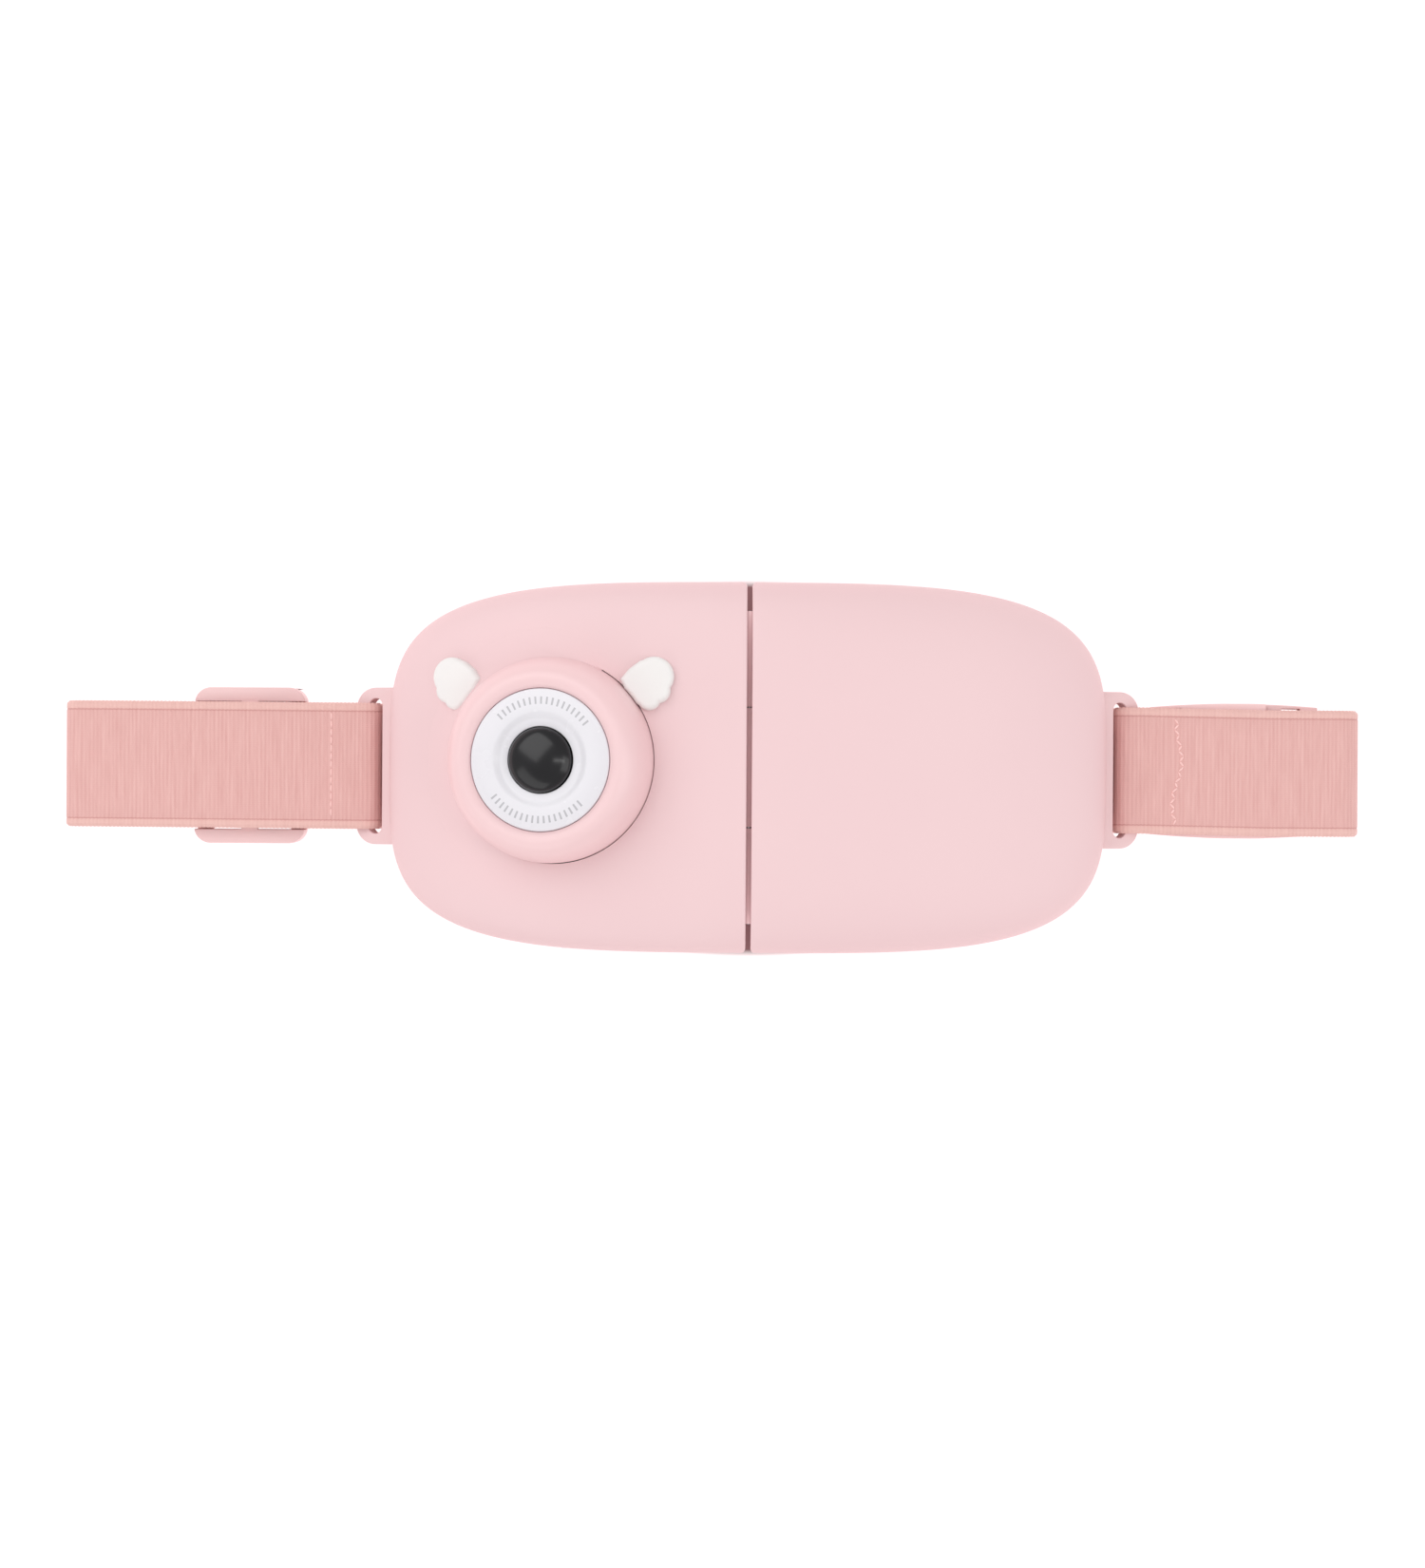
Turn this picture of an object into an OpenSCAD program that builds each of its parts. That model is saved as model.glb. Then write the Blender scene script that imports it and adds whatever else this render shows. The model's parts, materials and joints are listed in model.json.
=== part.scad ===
// Heated massage belt with a camera-style nose: two curved leaves hinged together,
// carried on an elastic waist belt with a slider and a side-release buckle.
// Units are millimetres. The belt lies on the plane z = 0, the origin is on it under the hinge,
// +X is along the belt, +Y is across it and +Z points out of the front of the leaves.

/* [Body] */
// Length of the two leaves together
body_len = 173; // [144:0.1:208]
// Width of the leaves across the belt
body_wid = 87.5; // [73:0.5:105]
// Squareness of the outline (2 is an ellipse)
outline_power = 3.9; // [2.8:0.1:4.5]
// Radius that the leaves are curved to, along the belt
bend_radius = 250; // [210:5:320]
// Depth of the front shells above the parting surface
front_depth = 14; // [13:0.5:17]
// Depth of the back shells below the parting surface
back_depth = 12; // [11.5:0.5:15]
// Flatness of the front shells' crown
front_round = 4; // [3.5:0.5:5]
// Flatness of the back shells' crown
back_round = 5; // [4:0.5:6]
// Wall of all four shells
wall = 1.8; // [1.5:0.1:2.2]
// Slit between the leaves at the front
leaf_gap = 1.2; // [1:0.1:1.5]

/* [Hinge] */
// Diameter of the knuckle barrel
hinge_dia = 5.6; // [5:0.1:6.8]
// Length of the barrel
hinge_len = 73; // [60:1:74]
// Diameter of the steel pin
pin_dia = 2; // [1.6:0.1:2.5]
// Depth of the barrel's top below the front face
hinge_cover = 3.2; // [2.8:0.1:4]
// How far the leaves fold towards the wearer, in degrees
fold_max = 24; // [16:0.1:29]
// Thickness of the hinge plates
hinge_plate = 1.5; // [1.2:0.1:1.8]
// Reach of the hinge plates into each leaf
hinge_reach = 13; // [12:0.5:15]

/* [Nose] */
// Place of the nose along the belt
nose_x = -46; // [-48:0.5:-44]
// Place of the nose across the belt
nose_y = 1.4; // [-3:0.1:3]
// Lean of the nose away from the hinge, in degrees
nose_tilt = 11.7; // [8:0.1:14]
// Diameter of the nose ring at its skirt
ring_dia = 48; // [44:0.1:58]
// Height of the ring's crest above its seat
ring_high = 12.3; // [11.5:0.1:14]
// Wall of the ring
ring_wall = 2; // [1.6:0.1:2.4]
// Diameter of the trim plate
plate_dia = 33; // [30:0.5:34]
// Thickness of the trim plate
plate_thick = 1.2; // [1:0.1:1.5]
// Diameter of the domed lens button
button_dia = 15; // [13:0.5:17]
// Rise of the button's dome
button_dome = 3; // [2:0.1:4]
// Travel of the button
button_travel = 0.6; // [0.3:0.1:0.8]

/* [Wings] */
// Thickness of the wing ornaments
wing_thick = 2.4; // [1.8:0.1:3]

/* [Strap lugs] */
// Width of each lug across the belt
lug_wid = 38; // [36:0.5:42]
// Reach of each lug beyond the leaf
lug_reach = 9.4; // [9:0.1:11]
// Thickness of each lug
lug_thick = 3.5; // [3:0.1:4]
// Width of the bar that the strap is sewn round
lug_bar = 3.5; // [3:0.1:4]
// Width of the slot inside the bar
slot_wid = 3.4; // [3.2:0.1:3.8]

/* [Belt] */
// Width of the elastic
strap_wid = 30; // [25:1:30]
// Thickness of the elastic
strap_thick = 1.3; // [1:0.1:1.5]
// Reach of the left fold beyond the leaf
left_reach = 79.7; // [76:0.5:110]
// Reach of the right fold beyond the leaf
right_reach = 62.5; // [60:0.5:90]

/* [Slider] */
// Centre of the slider beyond the leaf
slider_reach = 35; // [33.5:0.5:39]
// Length of the slider along the belt
slider_len = 27; // [24:0.5:30]
// Width of the slider across the belt
slider_wid = 38; // [37:0.5:42]

/* [Buckle] */
// Start of the buckle beyond the leaf
buckle_reach = 11.5; // [10.5:0.5:13.5]
// Length of the socket half
socket_len = 28; // [28:0.5:32]
// Height of the buckle
buckle_high = 9; // [8.5:0.1:9]
// Half width of the buckle at its widest
buckle_half = 16.4; // [16.2:0.1:18]

/* [Electronics] */
// Diameter of the vibration motors
motor_dia = 8; // [7:0.5:8.5]
// Length of the vibration motors
motor_len = 12; // [10:0.5:14]
// Battery cell: length, width, thickness
cell_size = [44, 56, 6.5];
// Main board: length, width, thickness
board_size = [46, 62, 1.2];

/* [Hidden] */

$fn = 48;
eps = 0.01;
half_len = body_len / 2;
half_wid = body_wid / 2;
fold_left = half_len + left_reach;
fold_right = half_len + right_reach;
slider_x = half_len + slider_reach;
buckle_x = half_len + buckle_reach;
inside_x = (half_len - 0.5) / 2;    // middle of a leaf
rings = 10;     // rings of facets from a shell's crown to its rim
spokes = 20;    // facets round a shell's rim

// Clearances
fit_gap = 0.1;      // between seated pieces
run_gap = 0.3;      // between pieces that move past each other

// The belt's two layers under the leaves, and the body's height over them
layer_1 = strap_thick / 2;
layer_2 = layer_1 + strap_thick + fit_gap;
pad_thick = 1.2;
pad_gap = 0.3;      // between a pad's upper face and the back shell's true curve
pad_half = [28, 29];
body_clear = 1.4;

function mid_drop(x) = bend_radius - sqrt(bend_radius * bend_radius - x * x);
function edge_ratio(x, y, inset = 0) = pow(
    pow(abs(x) / (half_len - inset), outline_power) + pow(abs(y) / (half_wid - inset), outline_power),
    1 / outline_power
);
function crown(r, power) = r >= 1 ? 0 : pow(1 - pow(r, power), 1 / power);
// Lowest point of the back shells below the crown of the parting surface
back_reach = max([for (x = [0:0.5:half_len]) mid_drop(x) + back_depth * crown(x / half_len, back_round)]);
crown_z = 2 * strap_thick + fit_gap + body_clear + back_reach;
function z_mid(x) = crown_z - mid_drop(x);
function z_front(x, y) = z_mid(x) + front_depth * crown(edge_ratio(x, y), front_round);
function z_back(x, y, inset = 0) =
    z_mid(x) - (back_depth - inset) * crown(edge_ratio(x, y, max(0, inset)), back_round);

// Hinge axis, and the leaves' end walls: upright above it, raked below it for the fold
hinge_z = z_front(0, 0) - hinge_cover - hinge_dia / 2;
rake = fold_max / 2 + 0.5;
function wall_x(z) = leaf_gap / 2 + max(0, hinge_z - z) * tan(rake);

// ---------- shells ----------

function shell_point(side, up, inset, i, j) = let(
    power = up > 0 ? front_round : back_round,
    depth = (up > 0 ? front_depth : back_depth) - inset,
    r = 1 - pow(1 - i / rings, 2.4),
    h = depth * crown(r, power),
    t = -90 + 180 * j / spokes,
    across = sign(sin(t)) * pow(abs(sin(t)), 2 / outline_power),
    along = pow(cos(t), 2 / outline_power),
    x0 = wall_x(crown_z + up * h) + inset,
    x = x0 + (half_len - inset - x0) * r * along,
    y = (half_wid - inset) * r * across
) [side * x, y, z_mid(x) + up * depth * crown(edge_ratio(x, y, inset), power)];

function shell_layer(side, up, inset) = concat(
    [shell_point(side, up, inset, 0, 0)],
    [for (i = [1:rings], j = [0:spokes]) shell_point(side, up, inset, i, j)]
);
function at(base, i, j) = base + (i == 0 ? 0 : 1 + (i - 1) * (spokes + 1) + j);
function quad(a, b, c, d) = [[a, b, c], [a, c, d]];
function flip(faces, turned) = turned ? [for (f = faces) [f[0], f[2], f[1]]] : faces;
function dome_faces(base) = concat(
    [for (j = [0:spokes - 1]) [at(base, 0, 0), at(base, 1, j + 1), at(base, 1, j)]],
    [for (i = [1:rings - 1], j = [0:spokes - 1])
        each quad(at(base, i, j), at(base, i, j + 1), at(base, i + 1, j + 1), at(base, i + 1, j))],
    [[at(base, 0, 0), at(base, 1, 0), at(base, 1, spokes)]],
    [for (i = [1:rings - 1])
        each quad(at(base, i, 0), at(base, i + 1, 0), at(base, i + 1, spokes), at(base, i, spokes))]
);
function rim_faces(base) = concat(
    [for (j = [0:spokes - 1])
        each quad(at(0, rings, j), at(0, rings, j + 1), at(base, rings, j + 1), at(base, rings, j))],
    quad(at(0, rings, spokes), at(0, rings, 0), at(base, rings, 0), at(base, rings, spokes))
);

// One shell: side is -1 left or 1 right, up is 1 front or -1 back
module bare_shell(side, up) {
    base = 1 + rings * (spokes + 1);
    polyhedron(
        points = concat(shell_layer(side, up, 0), shell_layer(side, up, wall)),
        faces = flip(concat(dome_faces(0), flip(dome_faces(base), true), rim_faces(base)), side * up < 0)
    );
}

// Case screws: their places on the right leaf, and their sizes
screw_places = [for (s = [1, -1]) each [[16, s * (half_wid - 10.75)], [half_len - 12.5, s * (half_wid - 21.75)]]];
boss_r = 2.8;
screw_r = 0.85;
head_r = 1.9;
head_sink = 5;      // of the head's face below the parting surface
screw_grip = 6;     // into the front shell
seam = 0.05;        // between boss and post

module at_case_screws(side) {
    for (p = screw_places) translate([side * p[0], p[1], z_mid(p[0])]) children();
}

// Height and depth of the shells' insides at a case screw, taken at the boss's outermost corner
function boss_high(p) = let(x = p[0] + boss_r * 0.8, y = abs(p[1]) + boss_r * 0.8)
    z_mid(x) - z_mid(p[0]) + (front_depth - wall) * crown(edge_ratio(x, y, wall), front_round);
function post_low(p) = let(x = p[0] + boss_r * 0.8, y = abs(p[1]) + boss_r * 0.8)
    (back_depth - wall) * crown(edge_ratio(x, y, wall), back_round);

hinge_screw_x = 9.5;
hinge_screw_y = 14;
hinge_boss_r = 2.4;
hinge_screw_r = 0.8;

module at_hinge_screws(side) {
    for (y = [-hinge_screw_y, hinge_screw_y]) translate([side * hinge_screw_x, y, hinge_z]) children();
}

ribbon_y = -25;
ribbon_wid = 10;
ribbon_z = crown_z + 3;

module hinge_clearance() {
    translate([0, 0, hinge_z]) rotate([90, 0, 0])
        cylinder(r = hinge_dia / 2 + run_gap, h = hinge_len + 2 * run_gap, center = true);
    translate([0, ribbon_y, ribbon_z]) cube([20, ribbon_wid + 2, 2.4], center = true);
}

module front_shell(side) {
    difference() {
        union() {
            bare_shell(side, 1);
            for (p = screw_places) translate([side * p[0], p[1], z_mid(p[0]) + seam])
                cylinder(r = boss_r, h = boss_high(p) + wall / 2);
            at_hinge_screws(side) translate([0, 0, hinge_plate / 2 + seam])
                cylinder(r = hinge_boss_r, h = z_front(hinge_screw_x, hinge_screw_y) - wall / 2 - hinge_z
                    - hinge_plate / 2);
        }
        hinge_clearance();
        at_case_screws(side) translate([0, 0, -eps]) cylinder(r = screw_r, h = screw_grip + 0.5);
        at_hinge_screws(side) cylinder(r = hinge_screw_r, h = hinge_grip + 0.3);
        if (side < 0) nose_frame() translate([0, 0, -ring_sink - 4])
            cylinder(r = ring_dia / 2 + fit_gap, h = ring_sink + 12);
    }
}

// ---------- strap lugs and back shells ----------

end_tilt = asin(half_len / bend_radius);
lug_top = 0.15;         // of the lug below the parting surface
lug_root = 5;           // of the lug inside the leaf
lug_corner = 5;
slot_end = lug_reach - lug_bar;
slot_len = strap_wid + 2.8;

// Frame of the right lug: at the end of the leaf, +X outwards along it
module lug_frame(side) {
    mirror([side < 0 ? 1 : 0, 0, 0]) translate([half_len, 0, z_mid(half_len)]) rotate([0, end_tilt, 0]) children();
}

module lug_plate() {
    translate([0, 0, -lug_thick - lug_top]) linear_extrude(height = lug_thick) difference() {
        union() {
            translate([-lug_root, -lug_wid / 2])
                square([lug_root + lug_reach - lug_corner, lug_wid]);
            translate([-lug_root, -lug_wid / 2 + lug_corner])
                square([lug_root + lug_reach, lug_wid - 2 * lug_corner]);
            for (y = [-1, 1]) translate([lug_reach - lug_corner, y * (lug_wid / 2 - lug_corner)])
                circle(r = lug_corner);
        }
        translate([slot_end - slot_wid, -slot_len / 2 + slot_wid / 2])
            square([slot_wid, slot_len - slot_wid]);
        for (y = [-1, 1]) translate([slot_end - slot_wid / 2, y * (slot_len - slot_wid) / 2])
            circle(d = slot_wid);
    }
}

port_x = 3 - inside_x;
port_size = [9, 7.4, 3.3];
port_drop = 3.4;        // of the port's centre below the parting surface
port_z = z_mid(port_x) - port_drop;
port_face = -half_wid + 0.5;

module slot_outline(w, h) {
    square([w - h, h], center = true);
    for (s = [-1, 1]) translate([s * (w - h) / 2, 0]) circle(d = h);
}

module port_frame() {
    translate([port_x, port_face, port_z]) rotate([-90, 0, 0]) children();
}

module back_shell(side) {
    difference() {
        union() {
            bare_shell(side, -1);
            lug_frame(side) lug_plate();
            for (p = screw_places) translate([side * p[0], p[1], z_mid(p[0]) - seam - post_low(p) - wall / 2])
                cylinder(r = boss_r + 0.6, h = post_low(p) + wall / 2);
        }
        at_case_screws(side) {
            translate([0, 0, -screw_grip]) cylinder(r = screw_r + 0.3, h = screw_grip + 1);
            translate([0, 0, -2 * back_depth]) cylinder(r = head_r + 0.2, h = 2 * back_depth - head_sink);
        }
        if (side < 0) port_frame() translate([0, 0, -2])
            linear_extrude(height = port_size[1] + 2.5) slot_outline(port_size[0] + 2 * fit_gap, port_size[2] + 2 * fit_gap);
    }
}

module left_front_shell() color("#f3d3d6") front_shell(-1);
module right_front_shell() color("#f3d3d6") front_shell(1);
module left_back_shell() color("#f0cfd2") back_shell(-1);
module right_back_shell() color("#f0cfd2") back_shell(1);

// ---------- sheets that follow the back ----------

sheet_n = 10;
function sheet_uv(k) = -1 + 2 * k / sheet_n;
// A square of the grid squeezed to a rounded outline
function sheet_xy(side, centre, half, i, j) = let(
    u = sheet_uv(i),
    v = sheet_uv(j)
) [side * (centre + half[0] * u * (1 - 0.12 * v * v)), half[1] * v * (1 - 0.12 * u * u)];

// A sheet between two depths under the parting surface: low and high are insets of the back shell
module back_sheet(side, centre, half, low, high) {
    n = sheet_n + 1;
    flat = [for (i = [0:sheet_n], j = [0:sheet_n]) sheet_xy(side, centre, half, i, j)];
    function at_depth(inset) = [for (p = flat) [p[0], p[1], z_back(p[0], p[1], inset)]];
    function idx(i, j) = i * n + j;
    top = n * n;
    edge = concat(
        [for (i = [0:sheet_n - 1]) [idx(i, 0), idx(i + 1, 0)]],
        [for (j = [0:sheet_n - 1]) [idx(sheet_n, j), idx(sheet_n, j + 1)]],
        [for (i = [sheet_n:-1:1]) [idx(i, sheet_n), idx(i - 1, sheet_n)]],
        [for (j = [sheet_n:-1:1]) [idx(0, j), idx(0, j - 1)]]
    );
    faces = concat(
        [for (i = [0:sheet_n - 1], j = [0:sheet_n - 1])
            each quad(idx(i, j), idx(i + 1, j), idx(i + 1, j + 1), idx(i, j + 1))],
        [for (i = [0:sheet_n - 1], j = [0:sheet_n - 1])
            each quad(top + idx(i, j), top + idx(i, j + 1), top + idx(i + 1, j + 1), top + idx(i + 1, j))],
        [for (e = edge) each quad(e[1], e[0], top + e[0], top + e[1])]
    );
    polyhedron(points = concat(at_depth(low), at_depth(high)), faces = flip(faces, side < 0));
}

module heat_pad(side)
    back_sheet(side, inside_x, pad_half, -pad_thick - pad_gap, -pad_gap);
module heater_film(side)
    back_sheet(side, inside_x, [20, 22], wall + 0.15, wall + 0.45);

module left_heat_pad() color("#e9b9bb") heat_pad(-1);
module right_heat_pad() color("#e9b9bb") heat_pad(1);
module left_heater_film() color("#c8813c") heater_film(-1);
module right_heater_film() color("#c8813c") heater_film(1);

// ---------- nose ----------

ring_sink = 4.5;        // of the skirt below the seat plane
crest_r = ring_dia / 2 - 5;
shoulder_z = 2;
plate_top = ring_high - 1;
plate_seat = plate_top - plate_thick;
board_seat = -2.2;
nose_board_thick = 1.2;
flange_thick = 1.4;
flange_top = plate_seat - run_gap;
dish_r = 10.4;
dish_deep = 0.6;
switch_high = 3.5;
nub_high = 1;
board_top = board_seat + nose_board_thick;
nub_top = board_top + switch_high + nub_high;
plunger_low = nub_top + button_travel + fit_gap;

module nose_frame() {
    translate([nose_x, nose_y, z_front(nose_x, nose_y)]) rotate([0, -nose_tilt, 0]) children();
}
// Points of an elliptic arc
function arc(cx, cz, rx, rz, from, to, n) =
    [for (i = [0:n]) let(a = from + (to - from) * i / n) [cx + rx * cos(a), cz + rz * sin(a)]];

module nose_ring() color("#f5d5d8") nose_frame() rotate_extrude() polygon(concat(
    [[ring_dia / 2, -ring_sink]],
    arc(crest_r, shoulder_z, ring_dia / 2 - crest_r, ring_high - shoulder_z, 0, 90, 10),
    arc(crest_r, ring_high - 1.4, crest_r - plate_dia / 2 - fit_gap, 1.4, 90, 180, 6),
    [
        [plate_dia / 2 + fit_gap, plate_seat - 0.02],
        [plate_dia / 2 - 2, plate_seat - 0.02],
        [plate_dia / 2 - 2, plate_seat - 1.2]
    ],
    arc(crest_r, shoulder_z, ring_dia / 2 - crest_r - ring_wall, plate_seat - 1.4 - shoulder_z, 90, 0, 6),
    [
        [ring_dia / 2 - ring_wall, board_seat - 0.02],
        [ring_dia / 2 - ring_wall - 2.5, board_seat - 0.02],
        [ring_dia / 2 - ring_wall - 2.5, board_seat - 1.2],
        [ring_dia / 2 - ring_wall, board_seat - 1.2],
        [ring_dia / 2 - ring_wall, -ring_sink]
    ]
));

module trim_plate() color("#f1eff2") nose_frame() rotate_extrude() polygon([
    [plate_dia / 2, plate_seat],
    [plate_dia / 2, plate_top - 0.2],
    [plate_dia / 2 - 0.2, plate_top],
    [dish_r + 0.6, plate_top],
    [dish_r, plate_top - dish_deep],
    [button_dia / 2 + 0.25, plate_top - dish_deep],
    [button_dia / 2 + 0.25, plate_seat]
]);

module lens_button_cap() color("#2d2c30") nose_frame() rotate_extrude() polygon(concat(
    [[0, flange_top - flange_thick], [button_dia / 2 + 1.9, flange_top - flange_thick]],
    [[button_dia / 2 + 1.9, flange_top], [button_dia / 2, flange_top]],
    arc(0, plate_top - 0.4, button_dia / 2, button_dome, 0, 90, 12)
));

module switch_plunger() color("#e8e8e8") nose_frame() translate([0, 0, plunger_low])
    cylinder(r = 2.2, h = flange_top - flange_thick - plunger_low - 0.02);

spring_r = 6;
wire_r = 0.3;
spring_turns = 4;
spring_steps = 12;
spring_low = board_top + wire_r + 0.05;
spring_high = flange_top - flange_thick - wire_r - 0.05;

// A coil spring swept as a six-sided wire
module button_spring() color("#b9bcc0") nose_frame() {
    n = spring_turns * spring_steps;
    points = [for (k = [0:n], s = [0:5]) let(
        a = 360 * k / spring_steps,
        b = 60 * s,
        r = spring_r + wire_r * cos(b)
    ) [r * cos(a), r * sin(a), spring_low + (spring_high - spring_low) * k / n + wire_r * sin(b)]];
    faces = concat(
        [for (k = [0:n - 1], s = [0:5]) each quad(
            6 * k + s, 6 * k + (s + 1) % 6, 6 * (k + 1) + (s + 1) % 6, 6 * (k + 1) + s)],
        [[for (s = [5:-1:0]) s]],
        [[for (s = [0:5]) 6 * n + s]]
    );
    polyhedron(points = points, faces = faces);
}

module nose_board() color("#2f6b4f") nose_frame() translate([0, 0, board_seat])
    cylinder(r = ring_dia / 2 - ring_wall - 0.2, h = nose_board_thick);

module tact_switch() color("#3a3a3c") nose_frame() {
    translate([-3, -3, board_top + 0.02]) cube([6, 6, switch_high - 0.02]);
    translate([0, 0, board_top + switch_high]) cylinder(r = 1.7, h = nub_high);
}

// ---------- wings ----------

wing_lobes = [[23.9, 19.6, 4.6], [24.6, 16.4, 3.1], [22.7, 14.4, 2.7]];
wing_root = [
    [16, 18.9], [18, 21.3], [20.6, 23.2], [23, 24], [26, 19], [25.5, 16], [22.8, 12.2], [21.2, 12.3], [18, 14.5]
];
wing_at = [22.5, 18];

function face_normal(x, y) = let(
    d = 0.5,
    n = [(z_front(x - d, y) - z_front(x + d, y)) / (2 * d), (z_front(x, y - d) - z_front(x, y + d)) / (2 * d), 1]
) n / norm(n);

// A feathered wing lying on the front shell beside the ring: side is -1 or 1
module wing(side) {
    x = nose_x + side * wing_at[0];
    y = nose_y + wing_at[1];
    n = face_normal(x, y);
    difference() {
        translate([x, y, z_front(x, y)]) rotate(a = acos(n[2]), v = [-n[1], n[0], 0])
            translate([0, 0, 0.25]) mirror([side < 0 ? 1 : 0, 0, 0])
            translate([-wing_at[0], -wing_at[1], 0]) {
                linear_extrude(height = wing_thick) polygon(wing_root);
                for (l = wing_lobes) translate([l[0], l[1], 0]) cylinder(r = l[2], h = wing_thick);
            }
        nose_frame() translate([0, 0, -10]) cylinder(r = ring_dia / 2 + fit_gap, h = 30);
    }
}

module left_wing() color("white") wing(-1);
module right_wing() color("white") wing(1);

// ---------- inside the leaves ----------

inside_tilt = asin(inside_x / bend_radius);
board_low = -6.6;

// Frame of a leaf's inside: on the parting surface, +X along it
module leaf_frame(side) {
    translate([side * inside_x, 0, z_mid(inside_x)]) rotate([0, side * inside_tilt, 0]) children();
}

module main_board() color("#2f6b4f") {
    leaf_frame(-1) {
        translate([-board_size[0] / 2, -board_size[1] / 2, board_low]) cube(board_size);
        for (c = [[-12, 10, 9, 9, 1.2], [6, 14, 7, 5, 1], [4, -4, 5, 5, 1], [-14, -12, 4, 7, 1.6], [12, -18, 5, 4, 2.2]])
            translate([c[0], c[1], board_low + board_size[2] + 0.02]) cube([c[2], c[3], c[4]]);
    }
}

module charge_port() color("#c9ccd1") port_frame() {
    linear_extrude(height = port_size[1]) difference() {
        slot_outline(port_size[0], port_size[2]);
        slot_outline(port_size[0] - 0.7, port_size[2] - 0.7);
    }
    translate([0, 0, port_size[1] - 0.6]) linear_extrude(height = 0.6)
        slot_outline(port_size[0] - 0.7, port_size[2] - 0.7);
    translate([-3.3, -0.35, 1]) cube([6.6, 0.7, port_size[1] - 1.2]);
}

module battery_pack() color("#9fb6c8") leaf_frame(1) translate([-cell_size[0] / 2 + 2, -cell_size[1] / 2, -3.4])
    cube(cell_size);
module battery_board() color("#2f6b4f") leaf_frame(1) translate([-26, -20, -3.4]) cube([4, 40, 1]);

module link_ribbon() color("#e2a25a") translate([-7.5, ribbon_y - ribbon_wid / 2, ribbon_z - 0.2])
    cube([15, ribbon_wid, 0.4]);

motor_x = 12.5;
motor_z = z_mid(motor_x) - 3.5;
weight_len = 3;
shaft_r = 0.6;

module motor_frame(side) {
    translate([side * motor_x, 0, motor_z]) rotate([-90, 0, 0]) children();
}

module vibration_motor(side) motor_frame(side) {
    translate([0, 0, -motor_len / 2]) cylinder(d = motor_dia, h = motor_len);
    translate([0, 0, motor_len / 2 - eps]) cylinder(r = shaft_r, h = weight_len + 1);
}
module motor_weight(side) motor_frame(side) translate([0, 0, motor_len / 2 + 0.5]) difference() {
    cylinder(d = motor_dia - 0.6, h = weight_len);
    translate([0, 0, -1]) cylinder(r = shaft_r + 0.04, h = weight_len + 2);
    translate([-motor_dia, shaft_r + 0.6, -1]) cube([2 * motor_dia, motor_dia, weight_len + 2]);
}

module left_vibration_motor() color("#b8bcc2") vibration_motor(-1);
module right_vibration_motor() color("#b8bcc2") vibration_motor(1);
module left_motor_weight() color("#8d8f94") motor_weight(-1);
module right_motor_weight() color("#8d8f94") motor_weight(1);

// ---------- hinge and screws ----------

knuckle_mid = hinge_len / 2.6;
hinge_grip = z_front(hinge_screw_x, hinge_screw_y) - hinge_z - 1;
bore_gap = 0.05;

// Barrel along Y between two heights of y
module barrel(from, to, r) {
    translate([0, from, hinge_z]) rotate([-90, 0, 0]) cylinder(r = r, h = to - from);
}

module hinge_leaf(side) {
    spans = side > 0
        ? [[-knuckle_mid / 2 + run_gap / 2, knuckle_mid / 2 - run_gap / 2]]
        : [[-hinge_len / 2, -knuckle_mid / 2 - run_gap / 2], [knuckle_mid / 2 + run_gap / 2, hinge_len / 2]];
    clear_x = hinge_dia / 2 + run_gap;
    plate_y = hinge_len - 16;
    difference() {
        union() {
            for (s = spans) {
                barrel(s[0], s[1], hinge_dia / 2);
                lo = max(s[0], -plate_y / 2);
                hi = min(s[1], plate_y / 2);
                translate([side > 0 ? 0 : -clear_x - 1, lo, hinge_z - hinge_plate / 2])
                    cube([clear_x + 1, hi - lo, hinge_plate]);
            }
            translate([side > 0 ? clear_x : -hinge_reach, -plate_y / 2, hinge_z - hinge_plate / 2])
                cube([hinge_reach - clear_x, plate_y, hinge_plate]);
        }
        barrel(-hinge_len, hinge_len, pin_dia / 2 + bore_gap);
        at_hinge_screws(side) cylinder(r = hinge_screw_r + 0.2, h = 10, center = true);
    }
}

module hinge_pin() color("#aeb2b8") {
    barrel(-hinge_len / 2 - 0.2, hinge_len / 2 + 0.2, pin_dia / 2);
}
module hinge_screws(side) at_hinge_screws(side) {
    translate([0, 0, -hinge_plate / 2 - 1.1]) cylinder(r = 1.5, h = 1.08);
    translate([0, 0, -hinge_plate / 2 - 0.1]) cylinder(r = hinge_screw_r - 0.02, h = hinge_grip + hinge_plate / 2);
}
module case_screws(side) at_case_screws(side) {
    translate([0, 0, -head_sink - 1.22]) cylinder(r = head_r - 0.1, h = 1.2);
    translate([0, 0, -head_sink - 0.3]) cylinder(r = screw_r - 0.02, h = head_sink + screw_grip);
}

module left_hinge_leaf() color("#eec3c6") hinge_leaf(-1);
module right_hinge_leaf() color("#eec3c6") hinge_leaf(1);
module left_hinge_screws() color("#8d8f94") hinge_screws(-1);
module right_hinge_screws() color("#8d8f94") hinge_screws(1);
module left_case_screws() color("#8d8f94") case_screws(-1);
module right_case_screws() color("#8d8f94") case_screws(1);

// ---------- belt ----------

function dir(p, q) = (q - p) / norm(q - p);
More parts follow.
